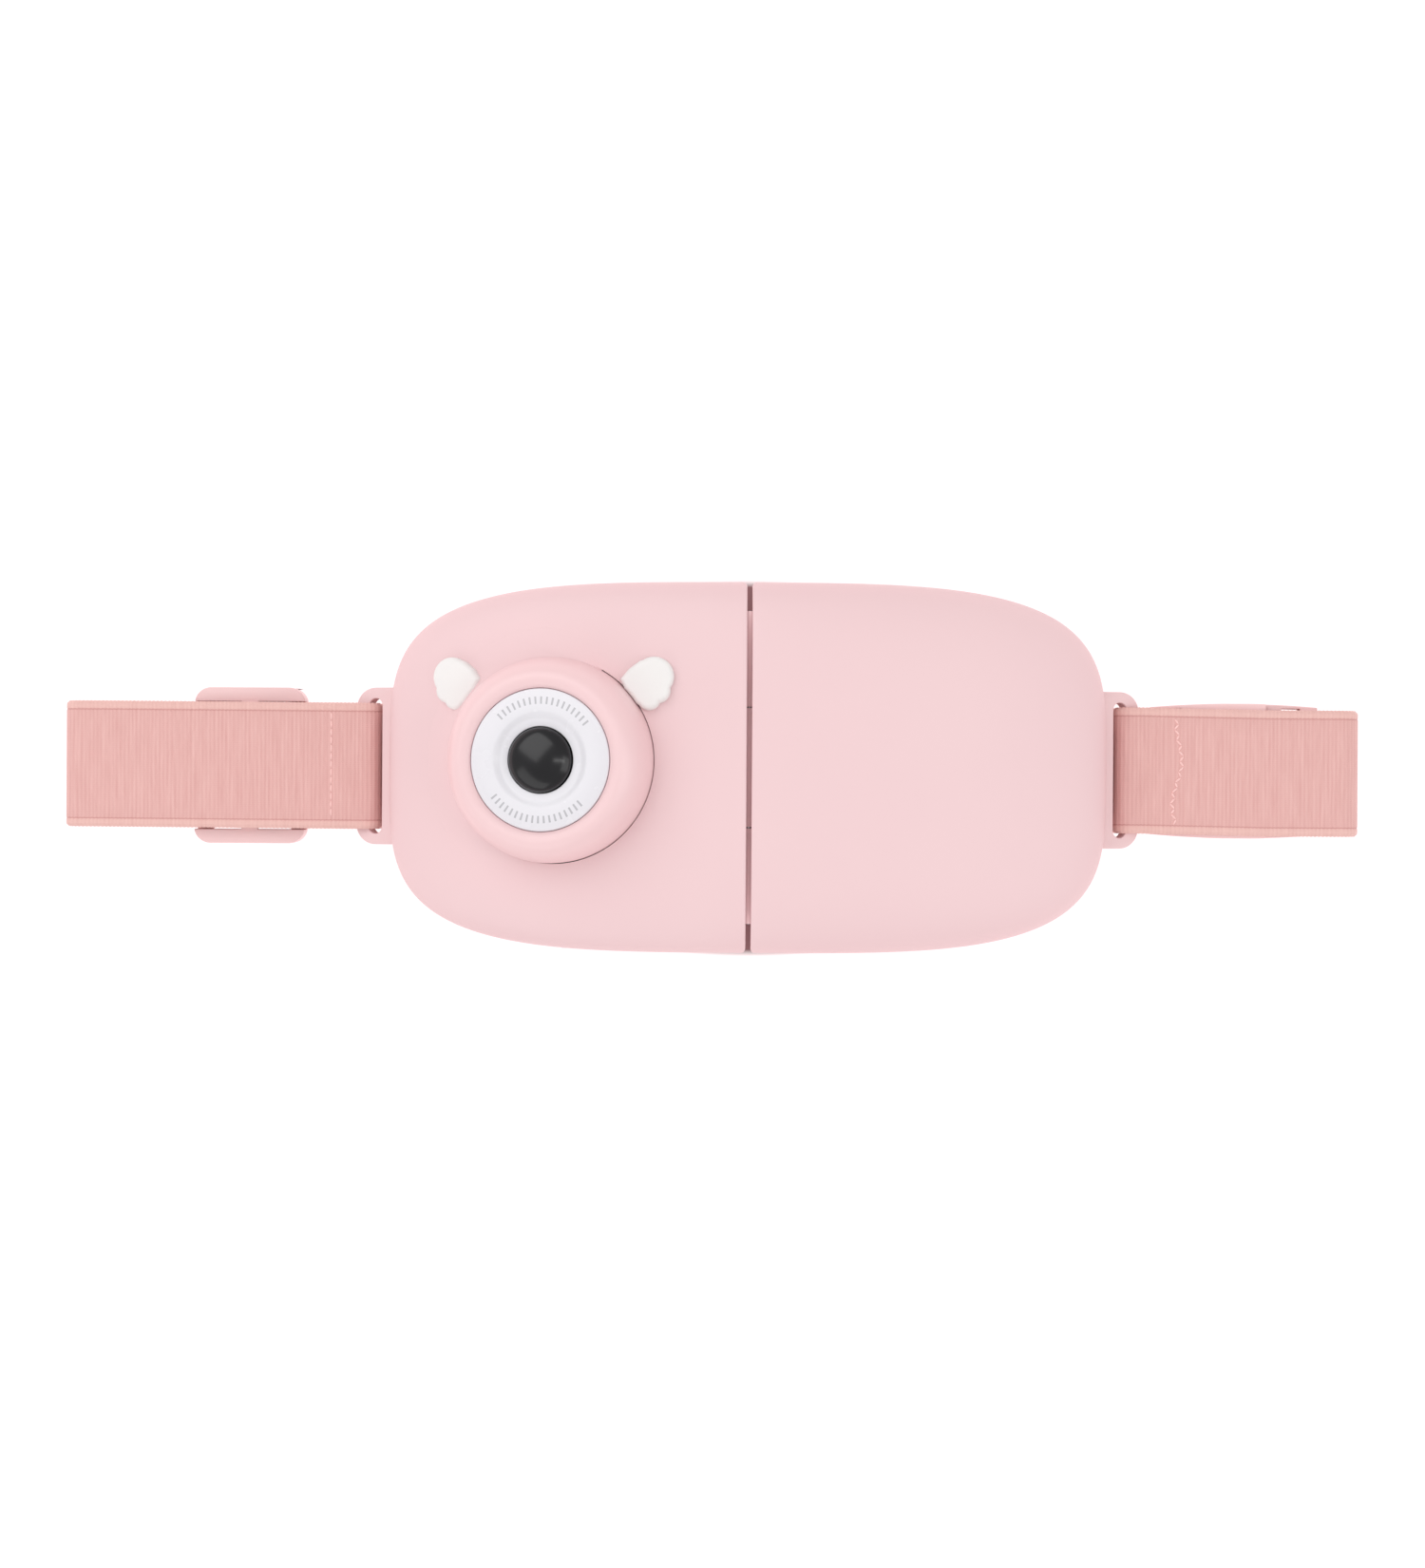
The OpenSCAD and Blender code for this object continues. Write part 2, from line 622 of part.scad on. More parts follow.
// One side of a strap: the path moved sideways by d
function strap_side(path, d) = [for (i = [0:len(path) - 1]) let(
    a = i == 0 ? dir(path[0], path[1]) : dir(path[i - 1], path[i]),
    b = i == len(path) - 1 ? a : dir(path[i], path[i + 1]),
    m = (a + b) / norm(a + b)
) path[i] + [-m[1], m[0]] * d / (m * a)];
function reversed(list) = [for (i = [len(list) - 1:-1:0]) list[i]];
function mirrored(path) = [for (p = path) [-p[0], p[1]]];

// A strap along a path of [x, z] points
module strap(path) {
    rotate([90, 0, 0]) linear_extrude(height = strap_wid, center = true)
        polygon(concat(strap_side(path, strap_thick / 2), reversed(strap_side(path, -strap_thick / 2))));
}

// The lug's bar, and the strap sewn round it
bar_lx = lug_reach - lug_bar / 2;
bar_lz = -lug_thick / 2 - lug_top;
bar_x = half_len + bar_lx * cos(end_tilt) + bar_lz * sin(end_tilt);
bar_z = z_mid(half_len) - bar_lx * sin(end_tilt) + bar_lz * cos(end_tilt);
bar_wrap = norm([lug_bar, lug_thick]) / 2 + 2 * fit_gap + strap_thick / 2;
tail_end = 11;          // of the sewn tail, from the bar
run_start = 6.5;        // of the free strap, from the bar
run_z = max(bar_z + bar_wrap, buckle_high + 2 * run_gap + strap_thick / 2);
tail_z = run_z - strap_thick - fit_gap;

// Round the bar of the right lug: from the sewn tail to the start of the front run
function lug_wrap() = concat(
    [[bar_x + tail_end, tail_z], [bar_x + run_start, tail_z]],
    arc(bar_x, bar_z, bar_wrap, bar_wrap, -72, -262, 10),
    [[bar_x + run_start, run_z]]
);

// Left strap: lug, front run, fold, then back through the slider to the middle of the body
slide_z = 1.8 + strap_thick / 2;
slide_end = slider_x - slider_len / 2 - 3;
fold_high = run_z - 0.9;
fold_r = (fold_high - slide_z) / 2;
fold_cx = fold_left - fold_r - strap_thick / 2;
middle_x = 9;
under_end = slide_end - 8;

module left_strap() color("#e6b0ad") strap(mirrored(concat(
    lug_wrap(),
    arc(fold_cx, slide_z + fold_r, fold_r, fold_r, 90, -90, 8),
    [[slide_end, slide_z], [under_end, layer_1], [middle_x, layer_1]]
)));

// Slider: outer bars under the running strap, middle bar over it, joined by two rails
slider_bar = 4;
slider_low = 1.6;
mid_low = slide_z + strap_thick * 1.5 + 4 * fit_gap;
mid_high = 1.6;
slider_high = mid_low + mid_high;
rail_wid = (slider_wid - strap_wid - 1.2) / 2;
slider_corner = 4;
loop_r = (mid_high + strap_thick) / 2 + 2 * fit_gap;

module slider_outline() {
    square([slider_len, slider_wid - 2 * slider_corner], center = true);
    square([slider_len - 2 * slider_corner, slider_wid], center = true);
    for (x = [-1, 1], y = [-1, 1]) translate([x * (slider_len / 2 - slider_corner), y * (slider_wid / 2 - slider_corner)])
        circle(r = slider_corner);
}

module slider_frame() color("#efc6c8") translate([-slider_x, 0, 0]) {
    difference() {
        linear_extrude(height = slider_high) slider_outline();
        translate([-slider_len, -slider_wid / 2 + rail_wid, slider_low])
            cube([2 * slider_len, slider_wid - 2 * rail_wid, slider_high]);
        translate([-slider_len / 2 + slider_bar, -slider_wid / 2 + rail_wid, -1])
            cube([slider_len - 2 * slider_bar, slider_wid - 2 * rail_wid, slider_high]);
    }
    translate([-slider_bar / 2, -slider_wid / 2 + rail_wid - 0.5, mid_low])
        cube([slider_bar, slider_wid - 2 * rail_wid + 1, mid_high]);
}

// Second layer of the belt: under the body, then sewn round the slider's middle bar
loop_start = slide_end - 1;
loop_low = mid_low + mid_high / 2 - loop_r;
loop_cz = mid_low + mid_high / 2;

module return_strap() color("#e6b0ad") strap(mirrored([
    [loop_start - 0.5, loop_low], [under_end - 1, layer_2], [middle_x, layer_2]
]));

module strap_end_loop() color("#e6b0ad") strap(mirrored(concat(
    [[loop_start, loop_low]],
    arc(slider_x + slider_bar / 2 - 0.3, loop_cz, loop_r, loop_r, -90, 90, 6),
    arc(slider_x - slider_bar / 2 + 0.3, loop_cz, loop_r, loop_r, 90, 130, 2)
)));

// Both layers where they pass under the hinge
module belt_underpass() color("#e6b0ad") for (z = [layer_1, layer_2])
    strap([[-middle_x + fit_gap / 2, z], [middle_x - fit_gap / 2, z]]);

// Right of the hinge: out to the socket's bar, round it and back
socket_bar = 3.5;
socket_slot = 4;
socket_bar_low = strap_thick + 2 * fit_gap;
socket_bar_high = 1.8;
over_bar = socket_bar_low + socket_bar_high + 2 * fit_gap + strap_thick / 2;
turn_r = (over_bar - layer_1) / 2;

module under_strap() color("#e6b0ad") strap(concat(
    [[middle_x, layer_1]],
    arc(buckle_x + socket_bar - 0.3, layer_1 + turn_r, turn_r, turn_r, -90, 90, 8),
    [[buckle_x - 0.4, over_bar], [buckle_x - 4, layer_2], [middle_x, layer_2]]
));

plug_x = buckle_x + socket_len + 0.4;
plug_end = plug_x + 12.6;
end_r = (run_z - layer_1) / 2;
end_cx = fold_right - end_r - strap_thick / 2;
right_split = plug_end - 5;

module right_strap() color("#e6b0ad") strap(concat(
    lug_wrap(), [[right_split, run_z]]
));

plug_slot = 4.6;
plug_bar = 4.2;
plug_low = 2.5;
plug_high = 6.5;
plug_slot_x = plug_end - plug_bar - plug_slot / 2;

// The right strap's far end: fold, then round the plug's bar
module strap_fold_end() color("#e6b0ad") strap(concat(
    [[right_split + fit_gap, run_z]],
    arc(end_cx, layer_1 + end_r, end_r, end_r, 90, -90, 8),
    [[plug_slot_x + 1.6, layer_1], [plug_slot_x, layer_1 + 1.4], [plug_slot_x, plug_high],
        [plug_slot_x + 0.8, plug_high + 0.8 + fit_gap], [plug_end + 0.8, plug_high + 0.8 + fit_gap]]
));

// ---------- buckle ----------

buckle_wall = 1.5;
cavity_half = 13.6;
buckle_peak = buckle_x + 21.3;
// Half width of the buckle at x, bowed outwards
function buckle_side(x) = buckle_half - 1.4 * pow((x - buckle_peak) / 26, 2);

module buckle_outline(from, to) {
    n = 8;
    upper = [for (i = [0:n]) let(x = from + (to - from) * i / n) [x, buckle_side(x)]];
    polygon(concat(upper, [for (p = reversed(upper)) [p[0], -p[1]]]));
}

module buckle_socket() color("#efc6c8") difference() {
    linear_extrude(height = buckle_high) buckle_outline(buckle_x, buckle_x + socket_len);
    translate([buckle_x + socket_bar, -strap_wid / 2 - 0.2, -1])
        cube([socket_slot, strap_wid + 0.4, buckle_high + 2]);
    translate([buckle_x - 1, -strap_wid / 2 - 0.2, -1]) cube([socket_bar + 2, strap_wid + 0.4, 1 + socket_bar_low]);
    translate([buckle_x - 1, -strap_wid / 2 - 0.2, socket_bar_low + socket_bar_high])
        cube([socket_bar + 2, strap_wid + 0.4, buckle_high]);
    translate([buckle_x + socket_bar + socket_slot + buckle_wall, -cavity_half, buckle_wall])
        cube([socket_len, 2 * cavity_half, buckle_high - 2 * buckle_wall]);
    translate([buckle_x + 14, -buckle_half - 5, buckle_wall])
        cube([12, 2 * buckle_half + 10, buckle_high - 2 * buckle_wall]);
}

module buckle_plug() color("#efc6c8") difference() {
    union() {
        translate([0, 0, plug_low]) linear_extrude(height = plug_high - plug_low)
            buckle_outline(plug_x, plug_end);
        translate([buckle_x + 11, -3.5, plug_low]) cube([plug_x - buckle_x - 10, 7, plug_high - plug_low]);
    }
    translate([plug_end - plug_bar - plug_slot, -strap_wid / 2 + 0.6 - 0.8, 0])
        cube([plug_slot, strap_wid + 0.4, buckle_high]);
}

// Two springy side arms whose pads show in the socket's windows
module buckle_arms() color("#efc6c8") for (s = [0, 1]) mirror([0, s, 0])
    translate([buckle_x, 0, plug_low]) linear_extrude(height = plug_high - plug_low) polygon([
        [plug_x - buckle_x - 0.02, 9.6], [plug_x - buckle_x - 0.02, 12.6], [25.8, 12.9],
        [25.5, buckle_half - 0.6], [21, buckle_half - 0.1], [17, buckle_half - 0.3], [15, buckle_half - 1.2],
        [14.5, 12.4], [13, 9.8], [15, 9.4], [20, 10]
    ]);

left_front_shell();
right_front_shell();
left_back_shell();
right_back_shell();
left_heat_pad();
right_heat_pad();
left_heater_film();
right_heater_film();
nose_ring();
trim_plate();
left_wing();
right_wing();
lens_button_cap();
switch_plunger();
button_spring();
nose_board();
tact_switch();
main_board();
charge_port();
battery_pack();
battery_board();
link_ribbon();
left_vibration_motor();
right_vibration_motor();
left_motor_weight();
right_motor_weight();
left_hinge_leaf();
right_hinge_leaf();
hinge_pin();
left_hinge_screws();
right_hinge_screws();
left_case_screws();
right_case_screws();
left_strap();
return_strap();
belt_underpass();
under_strap();
right_strap();
slider_frame();
strap_end_loop();
buckle_socket();
buckle_plug();
buckle_arms();
strap_fold_end();
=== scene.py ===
"""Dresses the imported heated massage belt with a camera-style nose.

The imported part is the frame: each piece here stands for a CAD node, or goes on one, and rides on
its body. Lengths are in millimetres, and turn to metres where a mesh is made. The belt lies on
z = 0, x runs along it, and z points out of the front of the leaves.
"""

from __future__ import annotations

import json
import logging
import math
from dataclasses import dataclass, field
from enum import Enum
from typing import Callable, Iterable, Optional, Protocol, Sequence, Union

import bpy
import numpy as np
from mathutils import Matrix, Vector

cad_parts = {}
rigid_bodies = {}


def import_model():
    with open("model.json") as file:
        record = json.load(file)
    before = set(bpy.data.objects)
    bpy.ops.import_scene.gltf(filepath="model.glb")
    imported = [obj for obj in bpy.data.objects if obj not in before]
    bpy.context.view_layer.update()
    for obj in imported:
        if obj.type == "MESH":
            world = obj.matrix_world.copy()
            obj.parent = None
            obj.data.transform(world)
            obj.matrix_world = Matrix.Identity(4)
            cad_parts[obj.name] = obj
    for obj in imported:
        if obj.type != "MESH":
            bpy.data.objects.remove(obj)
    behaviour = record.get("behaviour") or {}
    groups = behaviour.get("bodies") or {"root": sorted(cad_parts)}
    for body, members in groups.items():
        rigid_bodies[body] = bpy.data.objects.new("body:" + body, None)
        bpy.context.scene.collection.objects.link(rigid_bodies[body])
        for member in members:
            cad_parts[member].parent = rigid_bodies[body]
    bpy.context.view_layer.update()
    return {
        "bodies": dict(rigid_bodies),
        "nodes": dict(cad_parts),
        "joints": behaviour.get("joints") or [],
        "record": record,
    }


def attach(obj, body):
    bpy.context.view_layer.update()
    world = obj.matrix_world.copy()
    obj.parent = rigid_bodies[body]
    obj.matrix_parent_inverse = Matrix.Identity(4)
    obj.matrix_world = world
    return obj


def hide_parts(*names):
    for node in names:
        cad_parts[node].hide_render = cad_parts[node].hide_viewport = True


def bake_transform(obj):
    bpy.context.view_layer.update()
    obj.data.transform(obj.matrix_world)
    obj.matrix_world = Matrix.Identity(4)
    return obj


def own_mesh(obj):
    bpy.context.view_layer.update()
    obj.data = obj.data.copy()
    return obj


LOG = logging.getLogger("massage_belt")
MM = 0.001
NOSE_SPOT = (-46.0, 1.4)
NOSE_TILT = 11.7

# Points this close, in millimetres, are one point.
SAME_SPOT = 0.002

Point = tuple[float, float]
Spot = tuple[float, float, float]
Key = Union[str, int]
Source = Union[bpy.types.Node, bpy.types.NodeSocket]
Tint = tuple[Source, str, str]
Span = tuple[Source, float, float]


class Side(Enum):
    """The two leaves: left holds the nose, right holds the battery."""

    LEFT = -1
    RIGHT = 1

    @property
    def body(self) -> str:
        """Name of the CAD body that the leaf's pieces ride on."""
        return f"{self.word}_leaf"

    @property
    def word(self) -> str:
        """The side's name as node names begin."""
        return self.name.lower()


class Half(Enum):
    """The two halves of a leaf, either side of its parting surface."""

    FRONT = 1
    BACK = -1

    @property
    def word(self) -> str:
        """The half's name as node names hold it."""
        return self.name.lower()


# ---------- finishes ----------


def linear(colour: str) -> tuple[float, float, float, float]:
    """Turns an sRGB hex colour to linear light.

    Args:
        colour: Six hex digits after a hash.

    Returns:
        Red, green, blue and alpha.
    """
    parts = [int(colour[i : i + 2], 16) / 255 for i in (1, 3, 5)]
    red, green, blue = (c / 12.92 if c <= 0.04045 else ((c + 0.055) / 1.055) ** 2.4 for c in parts)
    return red, green, blue, 1.0


class Shading:
    """A material while its nodes are laid, with the coordinates that its patterns read."""

    def __init__(self, name: str, **sockets: object) -> None:
        """Starts a material with one Principled shader.

        Args:
            name: The material's name.
            sockets: Values of the shader's own inputs, with _ for a space.
        """
        self.material = bpy.data.materials.new(name)
        self.material.use_nodes = True
        self.tree = self.material.node_tree
        self.shader = next(n for n in self.tree.nodes if n.type == "BSDF_PRINCIPLED")
        for key, value in sockets.items():
            self.shader.inputs[key.replace("_", " ")].default_value = value
        places = self.add("TexCoord")
        self.place, self.cloth = places.outputs["Object"], places.outputs["UV"]

    def add(
        self,
        kind: str,
        settings: Optional[dict[Key, object]] = None,
        links: Optional[dict[Key, Source]] = None,
    ) -> bpy.types.Node:
        """Adds a shader node with its settings and links.

        Args:
            kind: The node's type, without its ShaderNode prefix.
            settings: Values by input name, input number or node property.
            links: What feeds the node's inputs, by name or number: a socket, or a node's first output.

        Returns:
            The new node.
        """
        node = self.tree.nodes.new("ShaderNode" + kind)
        for key, value in (settings or {}).items():
            if isinstance(key, int) or key in node.inputs:
                node.inputs[key].default_value = value
            else:
                setattr(node, key, value)
        for key, source in (links or {}).items():
            self.feed(node.inputs[key], source)
        return node

    def feed(self, target: Union[str, bpy.types.NodeSocket], source: Source) -> None:
        """Links a socket, or a node's first output, to an input.

        Args:
            target: The input, or the name of one of the shader's own.
            source: What feeds it.
        """
        socket = source.outputs[0] if isinstance(source, bpy.types.Node) else source
        self.tree.links.new(socket, self.shader.inputs[target] if isinstance(target, str) else target)

    def face(
        self, tint: Optional[Tint] = None, gloss: Optional[Span] = None, relief: Optional[Span] = None
    ) -> bpy.types.Material:
        """Drives the shader's colour, roughness and relief from patterns.

        Args:
            tint: A pattern, and the colours at its low and high values.
            gloss: A pattern, and the roughness at its low and high values.
            relief: A pattern, the strength of its bumps and their height in millimetres.

        Returns:
            The material.
        """
        if tint:
            colours = {"data_type": "RGBA", 6: linear(tint[1]), 7: linear(tint[2])}
            self.feed("Base Color", self.add("Mix", colours, {0: tint[0]}).outputs[2])
        if gloss:
            ends = {"To Min": gloss[1], "To Max": gloss[2]}
            self.feed("Roughness", self.add("MapRange", ends, {"Value": gloss[0]}))
        if relief:
            bump = {"Strength": relief[1], "Distance": relief[2] * MM}
            self.feed("Normal", self.add("Bump", bump, {"Height": relief[0]}))
        return self.material


class Finish(Protocol):
    """What a piece's surface is made of and how it was made."""

    name: str

    def build(self) -> bpy.types.Material:
        """Makes the material."""


@dataclass(frozen=True)
class MouldedPlastic:
    """Injection-moulded ABS, acetal or nylon, from a spark-eroded mould.

    The mould's grain gives a soft satin sheen, and the flow of the melt a faint cloudiness. The
    real grain is about 0.06 mm; it is drawn at several times that so that it shows.
    """

    name: str
    colour: str
    cloud: str
    roughness: float = 0.45
    spread: float = 0.06
    ior: float = 1.53
    grain: float = 0.45
    depth: float = 0.010
    flow: float = 38.0

    def build(self) -> bpy.types.Material:
        """Makes the material."""
        look = Shading(self.name, IOR=self.ior)
        cloud = look.add("TexNoise", {"Scale": 1 / (self.flow * MM), "Detail": 3.0}, {"Vector": look.place})
        grain = look.add("TexNoise", {"Scale": 1 / (self.grain * MM), "Detail": 2.0}, {"Vector": look.place})
        gloss = (grain, self.roughness - self.spread, self.roughness + self.spread)
        return look.face((cloud, self.colour, self.cloud), gloss, (grain, 0.6, self.depth))


@dataclass(frozen=True)
class WorkedMetal:
    """Steel or foil, drawn, ground, plated or pressed, with fine lines from the tool."""

    name: str
    colour: str
    shade: str
    roughness: float = 0.3
    line: float = 0.25
    stretch: tuple[float, float, float] = (1.0, 12.0, 12.0)

    def build(self) -> bpy.types.Material:
        """Makes the material."""
        look = Shading(self.name, Metallic=1.0)
        drawn = look.add("Mapping", {"Scale": self.stretch}, {"Vector": look.place})
        lines = look.add("TexNoise", {"Scale": 1 / (12 * self.line * MM), "Detail": 3.0}, {"Vector": drawn})
        gloss = (lines, self.roughness - 0.08, self.roughness + 0.12)
        return look.face((lines, self.colour, self.shade), gloss, (lines, 0.4, 0.01))


@dataclass(frozen=True)
class SolderMask:
    """FR-4 circuit board under green solder mask, with copper runs that stand up under it."""

    name: str = "solder_mask"
    track: float = 1.6

    def build(self) -> bpy.types.Material:
        """Makes the material."""
        look = Shading(self.name, Roughness=0.28, IOR=1.5)
        colours = {"Color1": linear("#1f5a3a"), "Color2": linear("#2a6a45"), "Mortar": linear("#3f8a58")}
        sizes = {"Scale": 1 / (self.track * MM), "Mortar Size": 0.06, "Brick Width": 2.6, "Row Height": 0.5}
        runs = look.add("TexBrick", colours | sizes, {"Vector": look.place})
        look.feed("Base Color", runs)
        return look.face(relief=(runs.outputs["Fac"], 0.5, 0.03))


@dataclass(frozen=True)
class PolyimideFilm:
    """Amber polyimide film with etched heater lines that run to and fro across it."""

    name: str = "polyimide_film"
    pitch: float = 2.4
    narrow: float = 0.55

    def build(self) -> bpy.types.Material:
        """Makes the material."""
        look = Shading(self.name, Roughness=0.25, IOR=1.66)
        across = look.add("SeparateXYZ", {}, {0: look.place}).outputs["Y"]
        turn = look.add("Math", {"operation": "MULTIPLY", 1: math.tau / (self.pitch * MM)}, {0: across})
        wave = look.add("Math", {"operation": "SINE"}, {0: turn})
        line = look.add("Math", {"operation": "GREATER_THAN", 1: self.narrow}, {0: wave})
        return look.face((line, "#b4672a", "#d9a05a"))


@dataclass(frozen=True)
class PrintedTrim:
    """White acrylic trim, moulded with a polished face and pad-printed with two arcs of ticks.

    The face stays bright and a little glossy, and the print is a soft grey with no relief.
    """

    centre: tuple[float, float, float]
    tilt: float
    name: str = "printed_trim"
    inner: float = 12.9
    outer: float = 14.6
    ticks: int = 64
    tick_half: float = 0.17
    reach: float = 0.64
    lean: float = math.radians(4.0)

    def build(self) -> bpy.types.Material:
        """Makes the material."""
        look = Shading(self.name, IOR=1.49, Coat_Weight=0.25, Coat_Roughness=0.12)
        seat = {
            "vector_type": "TEXTURE",
            "Location": tuple(c * MM for c in self.centre),
            "Rotation": (0.0, -math.radians(self.tilt), 0.0),
        }
        local = look.add("Mapping", seat, {"Vector": look.place})
        flat = look.add("VectorMath", {"operation": "MULTIPLY", 1: (1, 1, 0)}, {0: local})
        radius = look.add("VectorMath", {"operation": "LENGTH"}, {0: flat}).outputs["Value"]
        axes = look.add("SeparateXYZ", {}, {0: flat})
        angle = look.add("Math", {"operation": "ARCTAN2"}, {0: axes.outputs["Y"], 1: axes.outputs["X"]})
        leaning = look.add("Math", {"operation": "ADD", 1: self.lean}, {0: angle})
        height = look.add("Math", {"operation": "SINE"}, {0: leaning})
        away = look.add("Math", {"operation": "ABSOLUTE"}, {0: height})
        in_arc = look.add("Math", {"operation": "GREATER_THAN", 1: self.reach}, {0: away})
        count = look.add("Math", {"operation": "MULTIPLY", 1: self.ticks / math.tau}, {0: leaning})
        share = look.add("Math", {"operation": "FRACT"}, {0: count})
        tick = look.add("Math", {"operation": "COMPARE", 1: 0.5, 2: self.tick_half}, {0: share})
        middle, half = (self.inner + self.outer) / 2 * MM, (self.outer - self.inner) / 2 * MM
        in_band = look.add("Math", {"operation": "COMPARE", 1: middle, 2: half}, {0: radius})
        print_mask = look.add("Math", {"operation": "MULTIPLY"}, {0: in_arc, 1: tick})
        print_mask = look.add("Math", {"operation": "MULTIPLY"}, {0: print_mask, 1: in_band})
        haze = look.add("TexNoise", {"Scale": 1 / (6 * MM), "Detail": 3.0}, {"Vector": look.place})
        return look.face((print_mask, "#e2e0e5", "#b8b6bb"), (haze, 0.2, 0.32))


@dataclass(frozen=True)
class SmokedAcrylic:
    """Smoked acrylic, polished: near black, with clear reflections and a trace of handling."""

    name: str = "smoked_acrylic"

    def build(self) -> bpy.types.Material:
        """Makes the material."""
        look = Shading(self.name, IOR=1.42, Coat_Weight=0.15, Coat_Roughness=0.1)
        wipe = look.add("TexNoise", {"Scale": 1 / (5 * MM), "Detail": 4.0}, {"Vector": look.place})
        return look.face((wipe, "#0f0e11", "#151418"), (wipe, 0.16, 0.26))


@dataclass(frozen=True)
class SiliconePad:
    """Compression-moulded silicone rubber: dull, soft-edged, with a fine matte tooth."""

    name: str = "silicone_pad"
    tooth: float = 0.6

    def build(self) -> bpy.types.Material:
        """Makes the material."""
        look = Shading(self.name, IOR=1.41, Sheen_Weight=0.15, Sheen_Roughness=0.5)
        tooth = look.add("TexVoronoi", {"Scale": 1 / (self.tooth * MM)}, {"Vector": look.place})
        cloud = look.add("TexNoise", {"Scale": 1 / (14 * MM), "Detail": 4.0}, {"Vector": look.place})
        return look.face((cloud, "#e3b1b4", "#dba5a9"), (tooth, 0.6, 0.78), (tooth, 0.5, 0.03))


@dataclass(frozen=True)
class WovenElastic:
    """Woven elastic: polyester over rubber cords, so its face has ribs across and fine threads along.

    Its UV map holds metres along and across the strap. The ribs are cut in the mesh as well.
    """

    name: str = "woven_elastic"
    rib: float = 0.95
    thread: float = 0.5
    thread_share: float = 0.35
    slub: float = 0.7
    fuzz: float = 0.3
    # Share of the yarn colour that is painted shade in the rib grooves and painted light on the crests.
    weave_tint: float = 0.085
    slub_tint: float = 0.75
    border: float = 13.2
    line: float = 0.16
    line_tint: float = 0.45

    def build(self) -> bpy.types.Material:
        """Makes the material."""
        look = Shading(self.name, Sheen_Weight=0.25, Sheen_Roughness=0.45, IOR=1.5)
        axes = look.add("SeparateXYZ", {}, {0: look.cloth})
        waves = {}
        for axis, pitch in (("X", self.rib), ("Y", self.thread)):
            per_metre = math.tau / (pitch * MM)
            turn = look.add("Math", {"operation": "MULTIPLY", 1: per_metre}, {0: axes.outputs[axis]})
            waves[axis] = look.add("Math", {"operation": "SINE"}, {0: turn})
        fine = look.add("Math", {"operation": "MULTIPLY", 1: self.thread_share}, {0: waves["Y"]})
        weave = look.add("Math", {"operation": "ADD"}, {0: waves["X"], 1: fine})
        yarn = look.add("Mapping", {"Scale": (1.0, 0.06, 1.0)}, {"Vector": look.cloth})
        slub = look.add("TexNoise", {"Scale": 1 / (self.slub * MM), "Detail": 3.0}, {"Vector": yarn})
        fuzz = look.add("TexNoise", {"Scale": 1 / (self.fuzz * MM), "Detail": 2.0}, {"Vector": look.cloth})
        # Painted light and shade: rib and thread crests painted lighter, grooves darker, on top of the yarn's
        # real slub.
        woven = look.add("Math", {"operation": "MULTIPLY", 1: self.weave_tint}, {0: weave})
        share = look.add("Math", {"operation": "MULTIPLY_ADD", 1: self.slub_tint}, {0: slub, 2: woven})
        yarns = {"data_type": "RGBA", 6: linear("#d49c98"), 7: linear("#f2c6c0")}
        tint = look.add("Mix", yarns, {0: share}).outputs[2]
        off = look.add("Math", {"operation": "ABSOLUTE"}, {0: axes.outputs["Y"]})
        edge = {"From Min": (self.border - 0.2) * MM, "From Max": (self.border + 0.6) * MM, "To Max": 0.4}
        rim = look.add("MapRange", edge, {"Value": off})
        tint = look.add("Mix", {"data_type": "RGBA", 7: linear("#f0c9bf")}, {0: rim, 6: tint}).outputs[2]
        line = look.add("Math", {"operation": "COMPARE", 1: self.border * MM, 2: self.line * MM}, {0: off})
        faint = look.add("Math", {"operation": "MULTIPLY", 1: self.line_tint}, {0: line})
        tint = look.add("Mix", {"data_type": "RGBA", 7: linear("#b9736f")}, {0: faint, 6: tint}).outputs[2]
        look.feed("Base Color", tint)
        raised = look.add("Math", {"operation": "MULTIPLY_ADD", 1: 0.6}, {0: fuzz, 2: weave})
        return look.face(gloss=(fuzz, 0.62, 0.9), relief=(raised, 0.7, 0.035))


@dataclass(frozen=True)
class TwistedThread:
    """Spun polyester sewing thread, a little lighter than the strap, with its twist in the gloss."""

    name: str = "twisted_thread"
    twist: float = 0.5

    def build(self) -> bpy.types.Material:
        """Makes the material."""
        look = Shading(self.name, Sheen_Weight=0.2, Sheen_Roughness=0.4)
        twist = look.add("TexNoise", {"Scale": 1 / (self.twist * MM)}, {"Vector": look.place})
        return look.face((twist, "#f3c0bb", "#fad3cf"), (twist, 0.45, 0.7))


# ---------- modelling steps ----------


